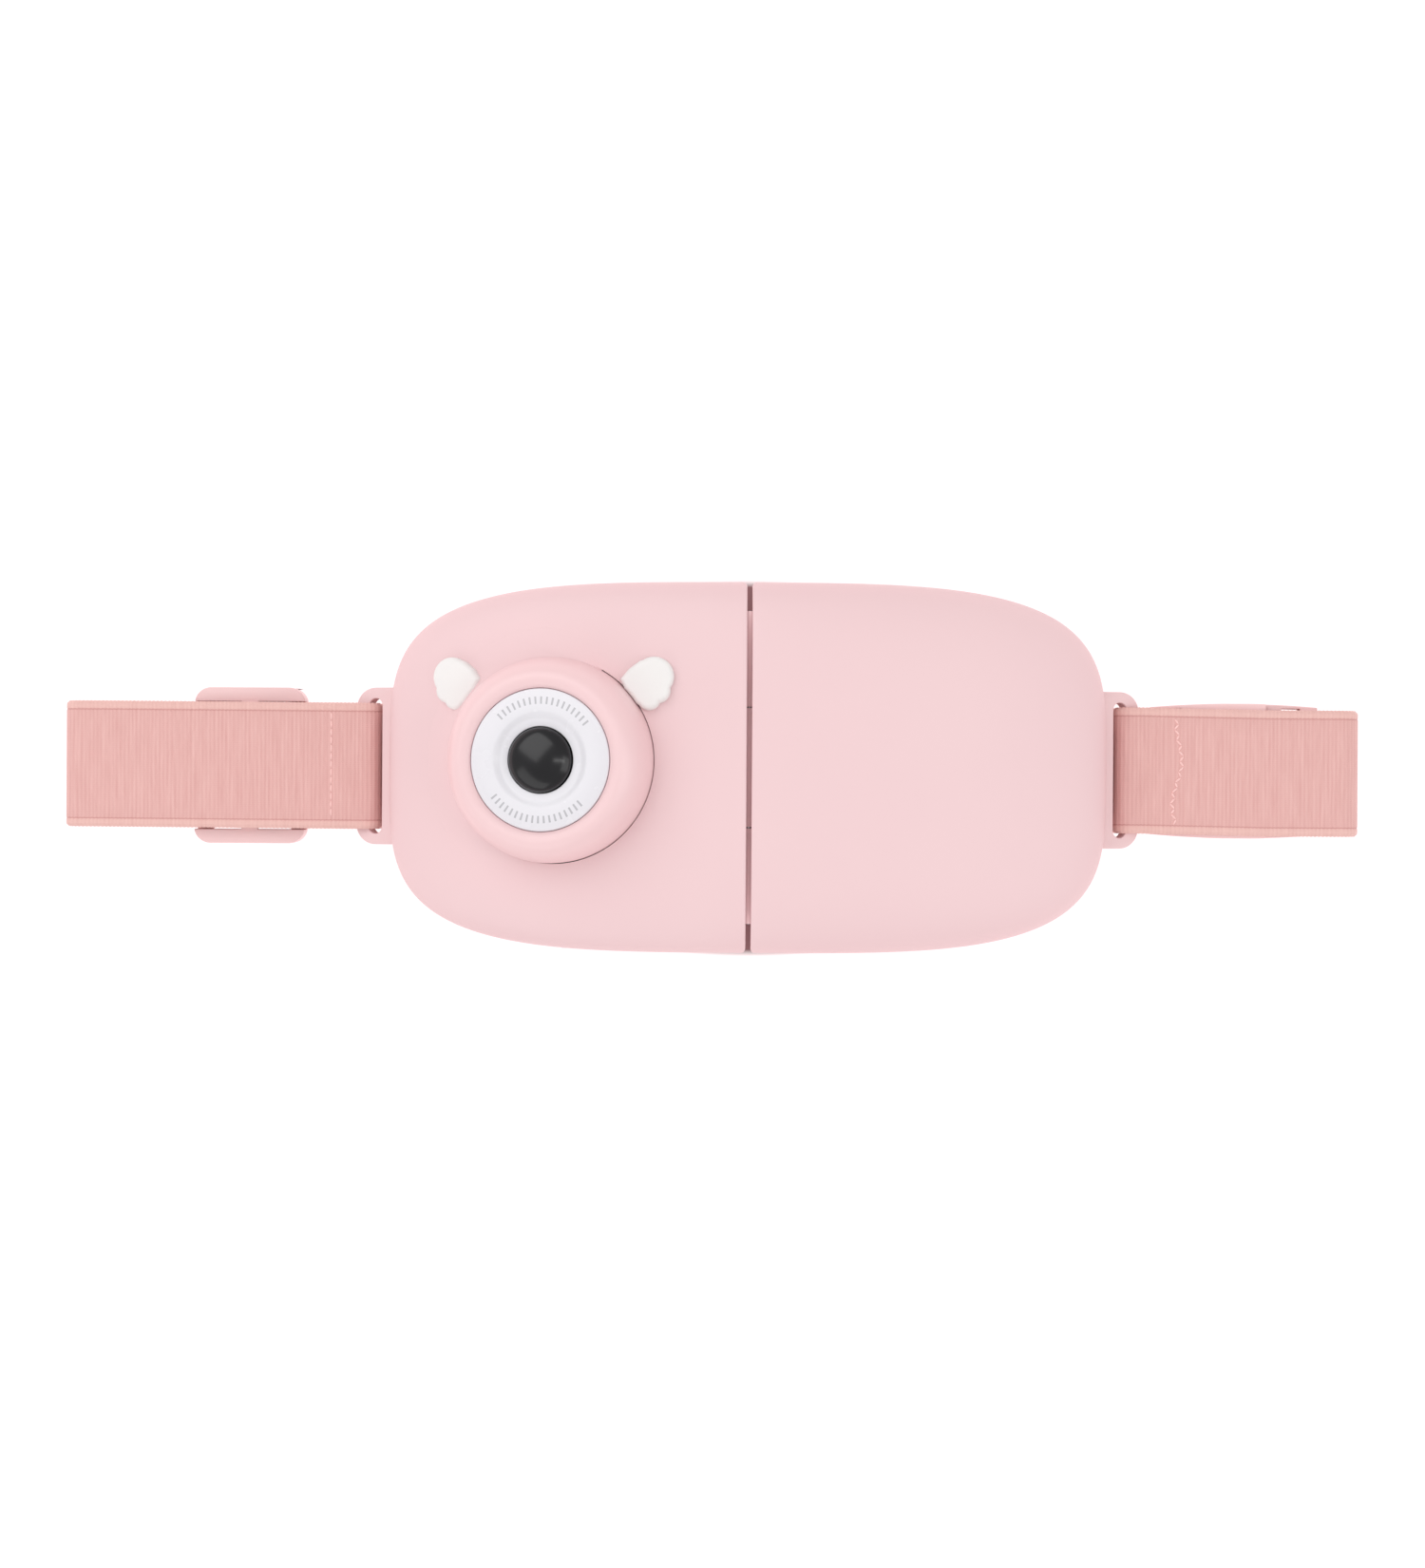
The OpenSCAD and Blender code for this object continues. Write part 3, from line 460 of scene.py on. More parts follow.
class Bench:
    """The modelling steps that the sub-assemblies share."""

    @staticmethod
    def clear() -> None:
        """Leaves edit mode and deselects everything."""
        if bpy.context.mode != "OBJECT":
            bpy.ops.object.mode_set(mode="OBJECT")
        bpy.ops.object.select_all(action="DESELECT")

    @staticmethod
    def pick(piece: bpy.types.Object) -> None:
        """Makes a piece the only one selected."""
        Bench.clear()
        piece.select_set(True)
        bpy.context.view_layer.objects.active = piece

    @staticmethod
    def newest(name: str) -> bpy.types.Object:
        """Names the primitive that was just added.

        Args:
            name: The piece's name.

        Returns:
            The piece.
        """
        piece = bpy.context.active_object
        piece.name = piece.data.name = name
        return piece

    @staticmethod
    def edit(piece: bpy.types.Object, *steps: Callable[[], object]) -> None:
        """Runs operators in edit mode with the whole mesh selected.

        Args:
            piece: The piece to shape.
            steps: The operators, in order.
        """
        Bench.pick(piece)
        bpy.ops.object.mode_set(mode="EDIT")
        bpy.ops.mesh.select_all(action="SELECT")
        for step in steps:
            step()
        bpy.ops.object.mode_set(mode="OBJECT")

    @staticmethod
    def weld(piece: bpy.types.Object, outward: bool = True) -> None:
        """Merges doubles, removes slivers and points the faces outwards."""
        Bench.edit(
            piece,
            lambda: bpy.ops.mesh.remove_doubles(threshold=SAME_SPOT * MM),
            lambda: bpy.ops.mesh.dissolve_degenerate(threshold=SAME_SPOT / 4 * MM),
        )
        if outward:
            Bench.face_out(piece)

    @staticmethod
    def volume(piece: bpy.types.Object) -> float:
        """Volume inside a closed mesh, negative where its faces point inwards."""
        mesh = piece.data
        mesh.calc_loop_triangles()
        spots = np.zeros(3 * len(mesh.vertices), np.float32)
        mesh.vertices.foreach_get("co", spots)
        corners = np.zeros(3 * len(mesh.loop_triangles), np.int32)
        mesh.loop_triangles.foreach_get("vertices", corners)
        a, b, c = spots.reshape(-1, 3)[corners.reshape(-1, 3)].astype(float).transpose(1, 0, 2)
        return float(np.einsum("ij,ij->", a, np.cross(b, c))) / 6

    @staticmethod
    def face_out(piece: bpy.types.Object) -> None:
        """Points a closed mesh's faces outwards, and makes sure of it by its volume."""
        Bench.edit(piece, lambda: bpy.ops.mesh.normals_make_consistent(inside=False))
        if Bench.volume(piece) < 0:
            Bench.edit(piece, lambda: bpy.ops.mesh.flip_normals())

    @staticmethod
    def modify(piece: bpy.types.Object, kind: str, **settings: object) -> None:
        """Adds a modifier and applies it.

        Args:
            piece: The piece to change.
            kind: The modifier's type.
            settings: The modifier's properties.
        """
        Bench.pick(piece)
        modifier = piece.modifiers.new(kind.lower(), kind)
        for key, value in settings.items():
            setattr(modifier, key, value)
        bpy.ops.object.modifier_apply(modifier=modifier.name)

    @staticmethod
    def soften(piece: bpy.types.Object, width: float, segments: int = 3, angle: float = 30.0) -> None:
        """Rounds a piece's sharp edges.

        Args:
            piece: The piece.
            width: The rounding's width in millimetres.
            segments: Faces across the rounding.
            angle: Edges sharper than this are rounded, in degrees.
        """
        Bench.modify(
            piece,
            "BEVEL",
            width=width * MM,
            segments=segments,
            limit_method="ANGLE",
            angle_limit=math.radians(angle),
            use_clamp_overlap=True,
            miter_outer="MITER_ARC",
        )

    @staticmethod
    def cut(piece: bpy.types.Object, cutter: bpy.types.Object) -> None:
        """Takes a cutter's volume out of a piece and removes the cutter."""
        Bench.modify(piece, "BOOLEAN", operation="DIFFERENCE", solver="EXACT", object=cutter)
        bpy.data.objects.remove(cutter, do_unlink=True)

    @staticmethod
    def mirror(piece: bpy.types.Object) -> None:
        """Mirrors a piece left to right and keeps its faces outwards."""
        Bench.place(piece, Matrix.Scale(-1, 4, (1, 0, 0)))
        Bench.edit(piece, lambda: bpy.ops.mesh.flip_normals())

    @staticmethod
    def smooth(piece: bpy.types.Object, angle: float = 32.0) -> None:
        """Shades a piece smooth, but for edges sharper than an angle in degrees."""
        Bench.pick(piece)
        bpy.ops.object.shade_smooth_by_angle(angle=math.radians(angle))

    @staticmethod
    def place(piece: bpy.types.Object, matrix: Matrix) -> None:
        """Moves a piece's mesh by a matrix in millimetres, so that its object stays at the origin."""
        metres = matrix.copy()
        metres.translation = matrix.translation * MM
        piece.data.transform(metres @ piece.matrix_basis)
        piece.matrix_basis = Matrix.Identity(4)

    @staticmethod
    def join(name: str, pieces: Sequence[bpy.types.Object]) -> bpy.types.Object:
        """Joins pieces to one.

        Args:
            name: The joined piece's name.
            pieces: The pieces.

        Returns:
            The joined piece.
        """
        Bench.pick(pieces[0])
        for piece in pieces[1:]:
            piece.select_set(True)
        bpy.ops.object.join()
        return Bench.newest(name)

    @staticmethod
    def copy(piece: bpy.types.Object, name: str) -> bpy.types.Object:
        """Copies a piece or a CAD node with its own mesh.

        Args:
            piece: What is copied.
            name: The copy's name.

        Returns:
            The copy, which rides on nothing yet.
        """
        twin = bpy.data.objects.new(name, piece.data.copy())
        twin.data.name = name
        bpy.context.scene.collection.objects.link(twin)
        return twin

    @staticmethod
    def grid(
        name: str,
        rows: int,
        columns: int,
        spot: Callable[[int, int], Sequence[float]],
        cloth: Optional[Callable[[int, int], Point]] = None,
    ) -> bpy.types.Object:
        """Adds a grid and lays it over a surface.

        Args:
            name: The piece's name.
            rows: Faces along the first direction.
            columns: Faces along the second direction.
            spot: Gives a grid point's place in millimetres from its row and column.
            cloth: Gives a grid point's place on the cloth in millimetres, for the UV map.

        Returns:
            The piece.
        """
        Bench.clear()
        bpy.ops.mesh.primitive_grid_add(x_subdivisions=rows, y_subdivisions=columns, size=1)
        piece = Bench.newest(name)
        points = [v.co for v in piece.data.vertices]
        indices = [(round((p.x + 0.5) * rows), round((p.y + 0.5) * columns)) for p in points]
        flat = np.array([spot(*i) for i in indices], np.float32) * MM
        piece.data.vertices.foreach_set("co", flat.ravel())
        if cloth is not None:
            places = np.array([cloth(*i) for i in indices], np.float32) * MM
            corners = np.zeros(len(piece.data.loops), np.int32)
            piece.data.loops.foreach_get("vertex_index", corners)
            piece.data.uv_layers.active.data.foreach_set("uv", places[corners].ravel())
        piece.data.update()
        return piece

    @staticmethod
    def seal(piece: bpy.types.Object, angle: float) -> None:
        """Closes a grid that was wrapped to a tube, and smooths it below an angle in degrees."""
        Bench.edit(
            piece,
            lambda: bpy.ops.mesh.remove_doubles(threshold=SAME_SPOT * MM),
            lambda: bpy.ops.mesh.fill_holes(sides=0),
        )
        Bench.face_out(piece)
        Bench.smooth(piece, angle)

    @staticmethod
    def face_way(piece: bpy.types.Object, up: bool) -> None:
        """Turns an open sheet's faces up or down."""
        if (sum(p.normal.z for p in piece.data.polygons) > 0) is not up:
            Bench.edit(piece, lambda: bpy.ops.mesh.flip_normals())

    @staticmethod
    def lathe(name: str, outline: Sequence[Point], steps: int = 144) -> bpy.types.Object:
        """Spins a closed outline about the z axis.

        Args:
            name: The piece's name.
            outline: Points of radius and height in millimetres, in order.
            steps: Faces round the turn.

        Returns:
            The piece.
        """
        Bench.clear()
        bpy.ops.mesh.primitive_circle_add(vertices=len(outline), radius=MM)
        piece = Bench.newest(name)
        for vertex, (radius, height) in zip(piece.data.vertices, outline):
            vertex.co = (radius * MM, 0, height * MM)
        turn = {"steps": steps, "angle": math.tau, "center": (0, 0, 0), "axis": (0, 0, 1)}
        Bench.edit(piece, lambda: bpy.ops.mesh.spin(**turn))
        Bench.weld(piece)
        return piece

    @staticmethod
    def rod(name: str, radius: float, low: float, high: float, sides: int = 64) -> bpy.types.Object:
        """Adds a rod along z, for a cutter.

        Args:
            name: The rod's name.
            radius: Its radius.
            low: Its lower end.
            high: Its upper end.
            sides: Its sides.

        Returns:
            The rod.
        """
        Bench.clear()
        middle = (0, 0, (low + high) / 2 * MM)
        bpy.ops.mesh.primitive_cylinder_add(
            vertices=sides, radius=radius * MM, depth=(high - low) * MM, location=middle
        )
        piece = Bench.newest(name)
        Bench.place(piece, Matrix.Identity(4))
        return piece

    @staticmethod
    def rounded_block(
        name: str, size: Sequence[float], corner: float, upright: Callable[[Vector], bool] = lambda _: True
    ) -> bpy.types.Object:
        """Adds a block on z = 0 whose upright edges are rounded.

        Args:
            name: The block's name.
            size: Its length, width and height.
            corner: Radius of its upright edges.
            upright: Tells which upright edges are rounded, from their middle in millimetres.

        Returns:
            The block.
        """
        Bench.clear()
        bpy.ops.mesh.primitive_cube_add(size=1)
        piece = Bench.newest(name)
        for vertex in piece.data.vertices:
            x, y, z = vertex.co
            vertex.co = Vector((x * size[0], y * size[1], (z + 0.5) * size[2])) * MM
        Bench.pick(piece)
        bpy.ops.object.mode_set(mode="EDIT")
        bpy.ops.mesh.select_mode(type="EDGE")
        bpy.ops.mesh.select_all(action="DESELECT")
        bpy.ops.object.mode_set(mode="OBJECT")
        for edge in piece.data.edges:
            ends = [piece.data.vertices[i].co for i in edge.vertices]
            if abs(ends[0].z - ends[1].z) > MM / 10 and upright((ends[0] + ends[1]) / 2 / MM):
                edge.select = True
        bpy.ops.object.mode_set(mode="EDIT")
        bpy.ops.mesh.bevel(offset=corner * MM, segments=12, affect="EDGES")
        bpy.ops.object.mode_set(mode="OBJECT")
        Bench.face_out(piece)
        return piece

    @staticmethod
    def refine(node: bpy.types.Object, name: str, width: float, segments: int = 3) -> bpy.types.Object:
        """Copies a CAD node, merges its loose triangles and rounds its edges.

        Args:
            node: The CAD node.
            name: The piece's name.
            width: The rounding's width in millimetres.
            segments: Faces across the rounding.

        Returns:
            The piece.
        """
        piece = Bench.copy(node, name)
        piece.data.materials.clear()
        Bench.edit(
            piece,
            lambda: bpy.ops.mesh.remove_doubles(threshold=SAME_SPOT * MM),
            lambda: bpy.ops.mesh.dissolve_limited(angle_limit=math.radians(1.0)),
        )
        Bench.soften(piece, width, segments)
        Bench.smooth(piece)
        return piece


def turned(angle: float, axis: str, centre: Sequence[float] = (0, 0, 0)) -> Matrix:
    """Gives a frame at a point, turned about an axis.

    Args:
        angle: Turn in degrees.
        axis: X, Y or Z.
        centre: The frame's origin in millimetres.

    Returns:
        The frame's matrix in millimetres.
    """
    return Matrix.Translation(Vector(centre)) @ Matrix.Rotation(math.radians(angle), 4, axis)


def arc(cx: float, cz: float, rx: float, rz: float, start: float, end: float, count: int) -> list[Point]:
    """Gives points of an elliptic arc.

    Args:
        cx: First coordinate of the centre.
        cz: Second coordinate of the centre.
        rx: Radius along the first axis.
        rz: Radius along the second axis.
        start: Start angle in degrees.
        end: End angle in degrees.
        count: Number of chords.

    Returns:
        The points.
    """
    angles = [math.radians(start + (end - start) * i / count) for i in range(count + 1)]
    return [(cx + rx * math.cos(a), cz + rz * math.sin(a)) for a in angles]


@dataclass
class Workshop:
    """The frame and the finishes, and how a finished piece joins the model."""

    frame: dict
    finishes: dict[str, Finish]
    made: dict[str, bpy.types.Material] = field(default_factory=dict)

    def material(self, slot: str) -> bpy.types.Material:
        """Gives a slot's material, which is made on first use.

        Args:
            slot: The record's material slot.

        Returns:
            The material.
        """
        if slot not in self.made:
            self.made[slot] = self.finishes[slot].build()
        return self.made[slot]

    def node(self, name: str) -> bpy.types.Object:
        """Gives a CAD node by name."""
        return self.frame["nodes"][name]

    def dress(self, piece: bpy.types.Object, finish: str) -> bpy.types.Object:
        """Gives a piece one material.

        Args:
            piece: The piece.
            finish: A slot's name, or that of a finish of its own.

        Returns:
            The piece.
        """
        piece.data.materials.clear()
        piece.data.materials.append(self.material(finish))
        return piece

    def deliver(
        self,
        piece: bpy.types.Object,
        slot: str,
        body: Union[str, tuple],
        nodes: Iterable[str] = (),
        finish: Optional[str] = None,
    ) -> bpy.types.Object:
        """Dresses a piece, puts it on its body when it is given one body, and hides the CAD nodes it stands
        for.

        Args:
            piece: The finished piece.
            slot: The record's material slot.
            body: A body's name, or two bodies and the start and end of a bend, for which the piece is only
                baked in place.
            nodes: The CAD nodes.
            finish: The finish, where it isn't the slot's own.

        Returns:
            The piece.
        """
        self.dress(piece, finish or slot)
        if isinstance(body, str):
            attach(piece, body)
        else:
            first, second, start, end = body
            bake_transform(piece)
            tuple(start)
            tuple(end)
        nodes = list(nodes)
        if nodes:
            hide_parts(*nodes)
        LOG.info("%s: %d faces, for %s", piece.name, len(piece.data.polygons), ", ".join(nodes) or "-")
        return piece


# ---------- leaves ----------


@dataclass(frozen=True)
class LeafForm:
    """The curves that both leaves follow."""

    half_len: float = 86.5
    half_wid: float = 43.75
    power: float = 3.9
    bend: float = 250.0
    crown_z: float = 26.9086
    front_depth: float = 14.0
    back_depth: float = 12.0
    front_round: float = 4.0
    back_round: float = 5.0
    wall: float = 1.8
    gap: float = 1.2
    hinge_z: float = 34.9086
    hinge_r: float = 2.8
    rake: float = 12.5

    def mid(self, x: float) -> float:
        """Height of the parting surface at x."""
        return self.crown_z - (self.bend - math.sqrt(self.bend**2 - x * x))

    def ratio(self, x: float, y: float) -> float:
        """How far out a point is, from 0 at the middle to 1 at the rim."""
        total = (abs(x) / self.half_len) ** self.power + (abs(y) / self.half_wid) ** self.power
        return total ** (1 / self.power)

    @staticmethod
    def crown(share: float, power: float) -> float:
        """Height of a crowned profile at a share of its reach."""
        return 0.0 if share >= 1 else (1 - share**power) ** (1 / power)

    def face(self, x: float, y: float, half: Half = Half.FRONT, proud: float = 0.0) -> float:
        """Height of the outer face at a point.

        Args:
            x: Place along the belt.
            y: Place across it.
            half: Front or back.
            proud: How far outside the face.

        Returns:
            The height.
        """
        if half is Half.FRONT:
            return self.mid(x) + (self.front_depth + proud) * self.crown(self.ratio(x, y), self.front_round)
        return self.mid(x) - (self.back_depth + proud) * self.crown(self.ratio(x, y), self.back_round)

    def wall_x(self, z: float) -> float:
        """Distance of a leaf's end wall from the hinge at a height."""
        return self.gap / 2 + max(0.0, self.hinge_z - z) * math.tan(math.radians(self.rake))

    def normal(self, x: float, y: float) -> Vector:
        """Outward direction of the front face at a point."""
        step = 0.5
        slope_x = (self.face(x + step, y) - self.face(x - step, y)) / (2 * step)
        slope_y = (self.face(x, y + step) - self.face(x, y - step)) / (2 * step)
        return Vector((-slope_x, -slope_y, 1)).normalized()


@dataclass
class Leaf:
    """One leaf's two shells, lug, pads, screws and hinge half."""

    shop: Workshop
    side: Side
    form: LeafForm = LeafForm()
    edge: float = 0.45
    seam: float = 0.28
    rows: int = 46
    columns: int = 84
    wall_rows: int = 10
    crowding: float = 2.3
    lips: tuple[float, ...] = (0.0, 0.04, 0.13, 0.27, 0.45, 1.4, 3.2)
    nose_hole: float = 24.2
    screw_spots: tuple[Point, ...] = ((16, 33), (16, -33), (74, 22), (74, -22))
    head_sink: float = 5.0
    head_r: float = 1.8
    head_tall: float = 1.25
    well_wall: float = 1.4
    recess: Spot = (2.1, 0.5, 1.0)
    port: Spot = (40.0, -43.25, 20.288)
    port_size: Spot = (9.3, 3.6, 12.0)
    port_corner: float = 1.7
    lug_size: Spot = (14.4, 38.0, 3.5)
    lug_slot: Point = (3.4, 32.8)
    pad_half: Point = (28.0, 29.0)
    pad_mid: float = 43.0
    pad_cells: int = 40
    pad_sink: float = 0.12
    pad_proud: float = 0.25
    pad_thick: float = 1.15
    nub_r: float = 1.7
    nub_pitch: Point = (9.0, 9.4)

    def shell_spot(self, half: Half, row: int, column: int, inset: float = 0.0) -> Spot:
        """Place of a shell's grid point. Rows below 0 go down the end wall, the last goes round the rim.

        Args:
            half: Front or back.
            row: Row, from the hinge out.
            column: Column, across the belt.
            inset: How far inside the outer face.

        Returns:
            The place.
        """
        form, up = self.form, half.value
        length, width = form.half_len - inset, form.half_wid - inset
        depth = (form.front_depth if up > 0 else form.back_depth) - inset
        power = form.front_round if up > 0 else form.back_round
        near, last = self.lips, self.rows - 1
        if row < len(near):
            lip = near[max(row, 0)]
            s = lip / form.half_len
        else:
            u = min((row - len(near) + 1) / (last - len(near) + 1), 1)
            first = near[-1] / form.half_len
            s, lip = first + (1 - first) * (1 - (1 - u) ** self.crowding), near[-1]
        v = 2 * (column - 1) / (self.columns - 2) - 1
        t = math.copysign(1 - (1 - min(abs(v), 1)) ** self.crowding, v)
        rim = row > last or abs(v) > 1.0001
        share = max(s, abs(t))
        total = (s**form.power + abs(t) ** form.power) ** (1 / form.power)
        squeeze = share / total if total else 1.0
        s, t = s * squeeze, t * squeeze
        x0 = form.wall_x(form.crown_z + up * depth * form.crown(share, power)) + inset
        x, y = x0 + (length - x0) * s, width * t
        ratio = ((x / length) ** form.power + (abs(y) / width) ** form.power) ** (1 / form.power)
        rise = depth * form.crown(max(share, ratio), power)
        if inset == 0:
            rise = max(rise, self.seam)
            if lip < self.edge:
                bend = self.edge - math.sqrt(self.edge**2 - (self.edge - lip) ** 2)
                rise -= min(bend, rise * 0.5)
            if rim:
                x, y = x0 + (x - x0) * (1 - self.seam / length), y * (1 - self.seam / width)
        if rim:
            rise = 0.0
        z = form.mid(x) + up * rise
        if row < 0:
            z += (form.mid(x) - z) * -row / self.wall_rows
            x = form.wall_x(z) + inset
        return self.side.value * x, y, z

    def shell(self, half: Half) -> bpy.types.Object:
        """Builds a shell from its outer and inner faces, bridged round the rim.

        Args:
            half: Front or back.

        Returns:
            The shell, before its openings.
        """
        name = f"{self.side.word}_{half.word}_cover"
        layers = [
            Bench.grid(
                f"{name}_{inset}",
                self.rows + self.wall_rows,
                self.columns,
                lambda row, column, inset=inset: self.shell_spot(half, row - self.wall_rows, column, inset),
            )
            for inset in (0.0, self.form.wall)
        ]
        for layer in layers:
            Bench.weld(layer, outward=False)
        piece = Bench.join(name, layers)
        Bench.edit(
            piece,
            lambda: bpy.ops.mesh.select_mode(type="EDGE"),
            lambda: bpy.ops.mesh.select_all(action="DESELECT"),
            lambda: bpy.ops.mesh.select_non_manifold(
                extend=False, use_wire=False, use_multi_face=False, use_non_contiguous=False, use_verts=False
            ),
            lambda: bpy.ops.mesh.bridge_edge_loops(),
        )
        Bench.face_out(piece)
        return piece

    def screw_frames(self) -> list[Matrix]:
        """Frames at the parting surface over each case screw."""
        side, mid = self.side.value, self.form.mid
        return [Matrix.Translation((side * x, y, mid(x))) for x, y in self.screw_spots]

    def front(self) -> None:
        """Builds the front shell, with room for the hinge barrel and the nose."""
        piece = self.shell(Half.FRONT)
        barrel = Bench.rod("barrel_cutter", self.form.hinge_r + 0.3, -36.8, 36.8)
        Bench.place(barrel, turned(90, "X", (0, 0, self.form.hinge_z)))
        Bench.cut(piece, barrel)
        if self.side is Side.LEFT:
            hole = Bench.rod("nose_cutter", self.nose_hole, -9, 8, 192)
            Bench.place(hole, Nose.seat())
            Bench.cut(piece, hole)
        Bench.smooth(piece, 28)
        self.shop.deliver(piece, "shell_pink", self.side.body, [f"{self.side.word}_front_shell"])

    def back(self) -> None:
        """Builds the back shell, with its screw wells and charge opening.

        The exact solver takes the left shell for inside out and comes out right on its mirror image,
        so a left shell is mirrored before its cuts and back after them.
        """
        piece = self.shell(Half.BACK)
        left = self.side is Side.LEFT
        if left:
            Bench.mirror(piece)
        for x, y in self.screw_spots:
            well = Bench.rod("well_cutter", self.head_r + 0.35, -30, -self.head_sink + 0.4, 40)
            Bench.place(well, Matrix.Translation((x, y, self.form.mid(x))))
            Bench.cut(piece, well)
        if left:
            opening = Bench.rounded_block("port_cutter", self.port_size, self.port_corner)
            middle = Matrix.Translation((0, 0, -self.port_size[2] / 2))
            Bench.place(opening, turned(-90, "X", self.port) @ middle)
            Bench.cut(piece, opening)
            Bench.mirror(piece)
        Bench.smooth(piece, 28)
        self.shop.deliver(piece, "back_pink", self.side.body, [f"{self.side.word}_back_shell"])

    def wells(self) -> None:
        """Builds the tubes that the case screws sit in, and the screws with their cross recesses."""
        wells, screws = [], []
        floor, reach = -self.head_sink - self.head_tall, self.head_r + 0.36
        wide = reach + self.well_wall
        outline = [(reach, -16.5), (wide, -16.5), (wide, floor + 2.4), (1.0, floor + 2.4)]
        outline += [(1.0, floor + 1.3), (reach - 0.2, floor + 1.3), (reach, floor + 1.1)]
        head = [(0, self.head_tall), (0.95, self.head_tall), (0.95, 0.1), (1.7, 0.1), (1.8, -0.05)]
        head += [(1.74, -0.42), (1.3, -0.72), (0.7, -0.86), (0, -0.9)]
        for index, spot in enumerate(self.screw_frames()):
            x = self.screw_spots[index][0] + reach
            y = abs(self.screw_spots[index][1]) + reach
            low = self.form.face(x, y, Half.BACK) + 0.9 - spot.translation.z
            tube = Bench.lathe(f"well_{index}", [(r, max(z, min(low, floor))) for r, z in outline], 40)
            Bench.place(tube, spot)
            wells.append(tube)
            screw = Bench.lathe(f"screw_{index}", head, 32)
            for turn in (0, 90):
                blade = Bench.rounded_block("recess_cutter", self.recess, 0.12)
                Bench.place(blade, turned(turn + 20 * index, "Z", (0, 0, -1.35)))
                Bench.cut(screw, blade)
            Bench.place(screw, spot @ Matrix.Translation((0, 0, -self.head_sink - 0.3)))
            screws.append(screw)
        word = self.side.word
        tubes = Bench.join(f"{word}_screw_wells", wells)
        Bench.smooth(tubes)
        self.shop.deliver(tubes, "back_pink", self.side.body)
        heads = Bench.join(f"{word}_case_screw_set", screws)
        Bench.smooth(heads)
        self.shop.deliver(heads, "screw_steel", self.side.body, [f"{word}_case_screws"])

    def lug(self) -> None:
        """Builds the strap lug: a rounded plate with a long slot and a bar."""
        length, width, thick = self.lug_size
        piece = Bench.rounded_block(
            f"{self.side.word}_strap_lug", (length, width, thick), 5.0, lambda spot: spot.x > 0
        )
        slot = Bench.rounded_block("slot_cutter", (*self.lug_slot, 8), self.lug_slot[0] / 2 - 0.01)
        Bench.place(slot, Matrix.Translation((2.0, 0, -2)))
        Bench.cut(piece, slot)
        Bench.soften(piece, 0.75, 4)
        Bench.smooth(piece)
        Bench.place(piece, Matrix.Translation((2.2, 0, -3.65)))
        tilt = math.degrees(math.asin(self.form.half_len / self.form.bend))
        frame = turned(tilt, "Y", (self.form.half_len, 0, self.form.mid(self.form.half_len)))
        if self.side is Side.LEFT:
            frame = Matrix.Rotation(math.pi, 4, "Z") @ frame
        Bench.place(piece, frame)
        self.shop.deliver(piece, "back_pink", self.side.body)

    def pad(self) -> None:
        """Builds the silicone heat pad, with a raised rim and rows of low massage nubs."""
        count, centre, proud = self.pad_cells, self.pad_mid, self.pad_proud

        def spot(row: int, column: int) -> Spot:
            """Place of a grid point on the pad's inner face."""
            u, v = 2 * row / count - 1, 2 * column / count - 1
            x = centre + self.pad_half[0] * u * (1 - self.pad_sink * v * v)
            y = self.pad_half[1] * v * (1 - self.pad_sink * u * u)
            edge = max(abs(u), abs(v))
            rib = 0.28 * math.exp(-(((edge - 0.86) / 0.035) ** 2))
            return self.side.value * x, y, self.form.face(x, y, Half.BACK, proud + rib)

        word = self.side.word
        piece = Bench.grid(f"{word}_silicone_pad", count, count, spot)
        Bench.face_way(piece, up=False)
        Bench.modify(piece, "SOLIDIFY", thickness=self.pad_thick * MM, offset=1)
        Bench.soften(piece, 0.45, 3, 50)
        Bench.smooth(piece, 40)
        nubs = []
        for column in range(-2, 3):
            for row in range(-2, 3):
                x, y = centre + column * self.nub_pitch[0], row * self.nub_pitch[1]
                Bench.clear()
                bpy.ops.mesh.primitive_uv_sphere_add(segments=20, ring_count=10, radius=self.nub_r * MM)
                nub = Bench.newest("nub")
                nub.scale.z = 0.5
                z = self.form.face(x, y, Half.BACK, proud + self.pad_thick)
                Bench.place(nub, Matrix.Translation((self.side.value * x, y, z)))
                nubs.append(nub)
        dots = Bench.join(f"{word}_pad_nubs", nubs)
        Bench.smooth(dots, 60)
        self.shop.deliver(piece, "silicone_pad", self.side.body, [f"{word}_heat_pad"])
        self.shop.deliver(dots, "silicone_pad", self.side.body)

    def hinge(self) -> None:
        """Rounds the edges of the hinge half and its screws."""
        for node, slot, width in (("hinge_leaf", "hinge_pink", 0.3), ("hinge_screws", "screw_steel", 0.12)):
            name = f"{self.side.word}_{node}"
            piece = Bench.refine(self.shop.node(name), f"{name}_round", width)
            self.shop.deliver(piece, slot, self.side.body, [name])

    def build(self) -> None:
        """Builds the leaf."""
        self.front()
        self.back()
        self.wells()
        self.lug()
        self.pad()
        self.hinge()
        if self.side is Side.LEFT:
            port = Bench.refine(self.shop.node("charge_port"), "charge_port_shell", 0.1, 2)
            self.shop.deliver(port, "port_steel", self.side.body, ["charge_port"])


# ---------- nose ----------


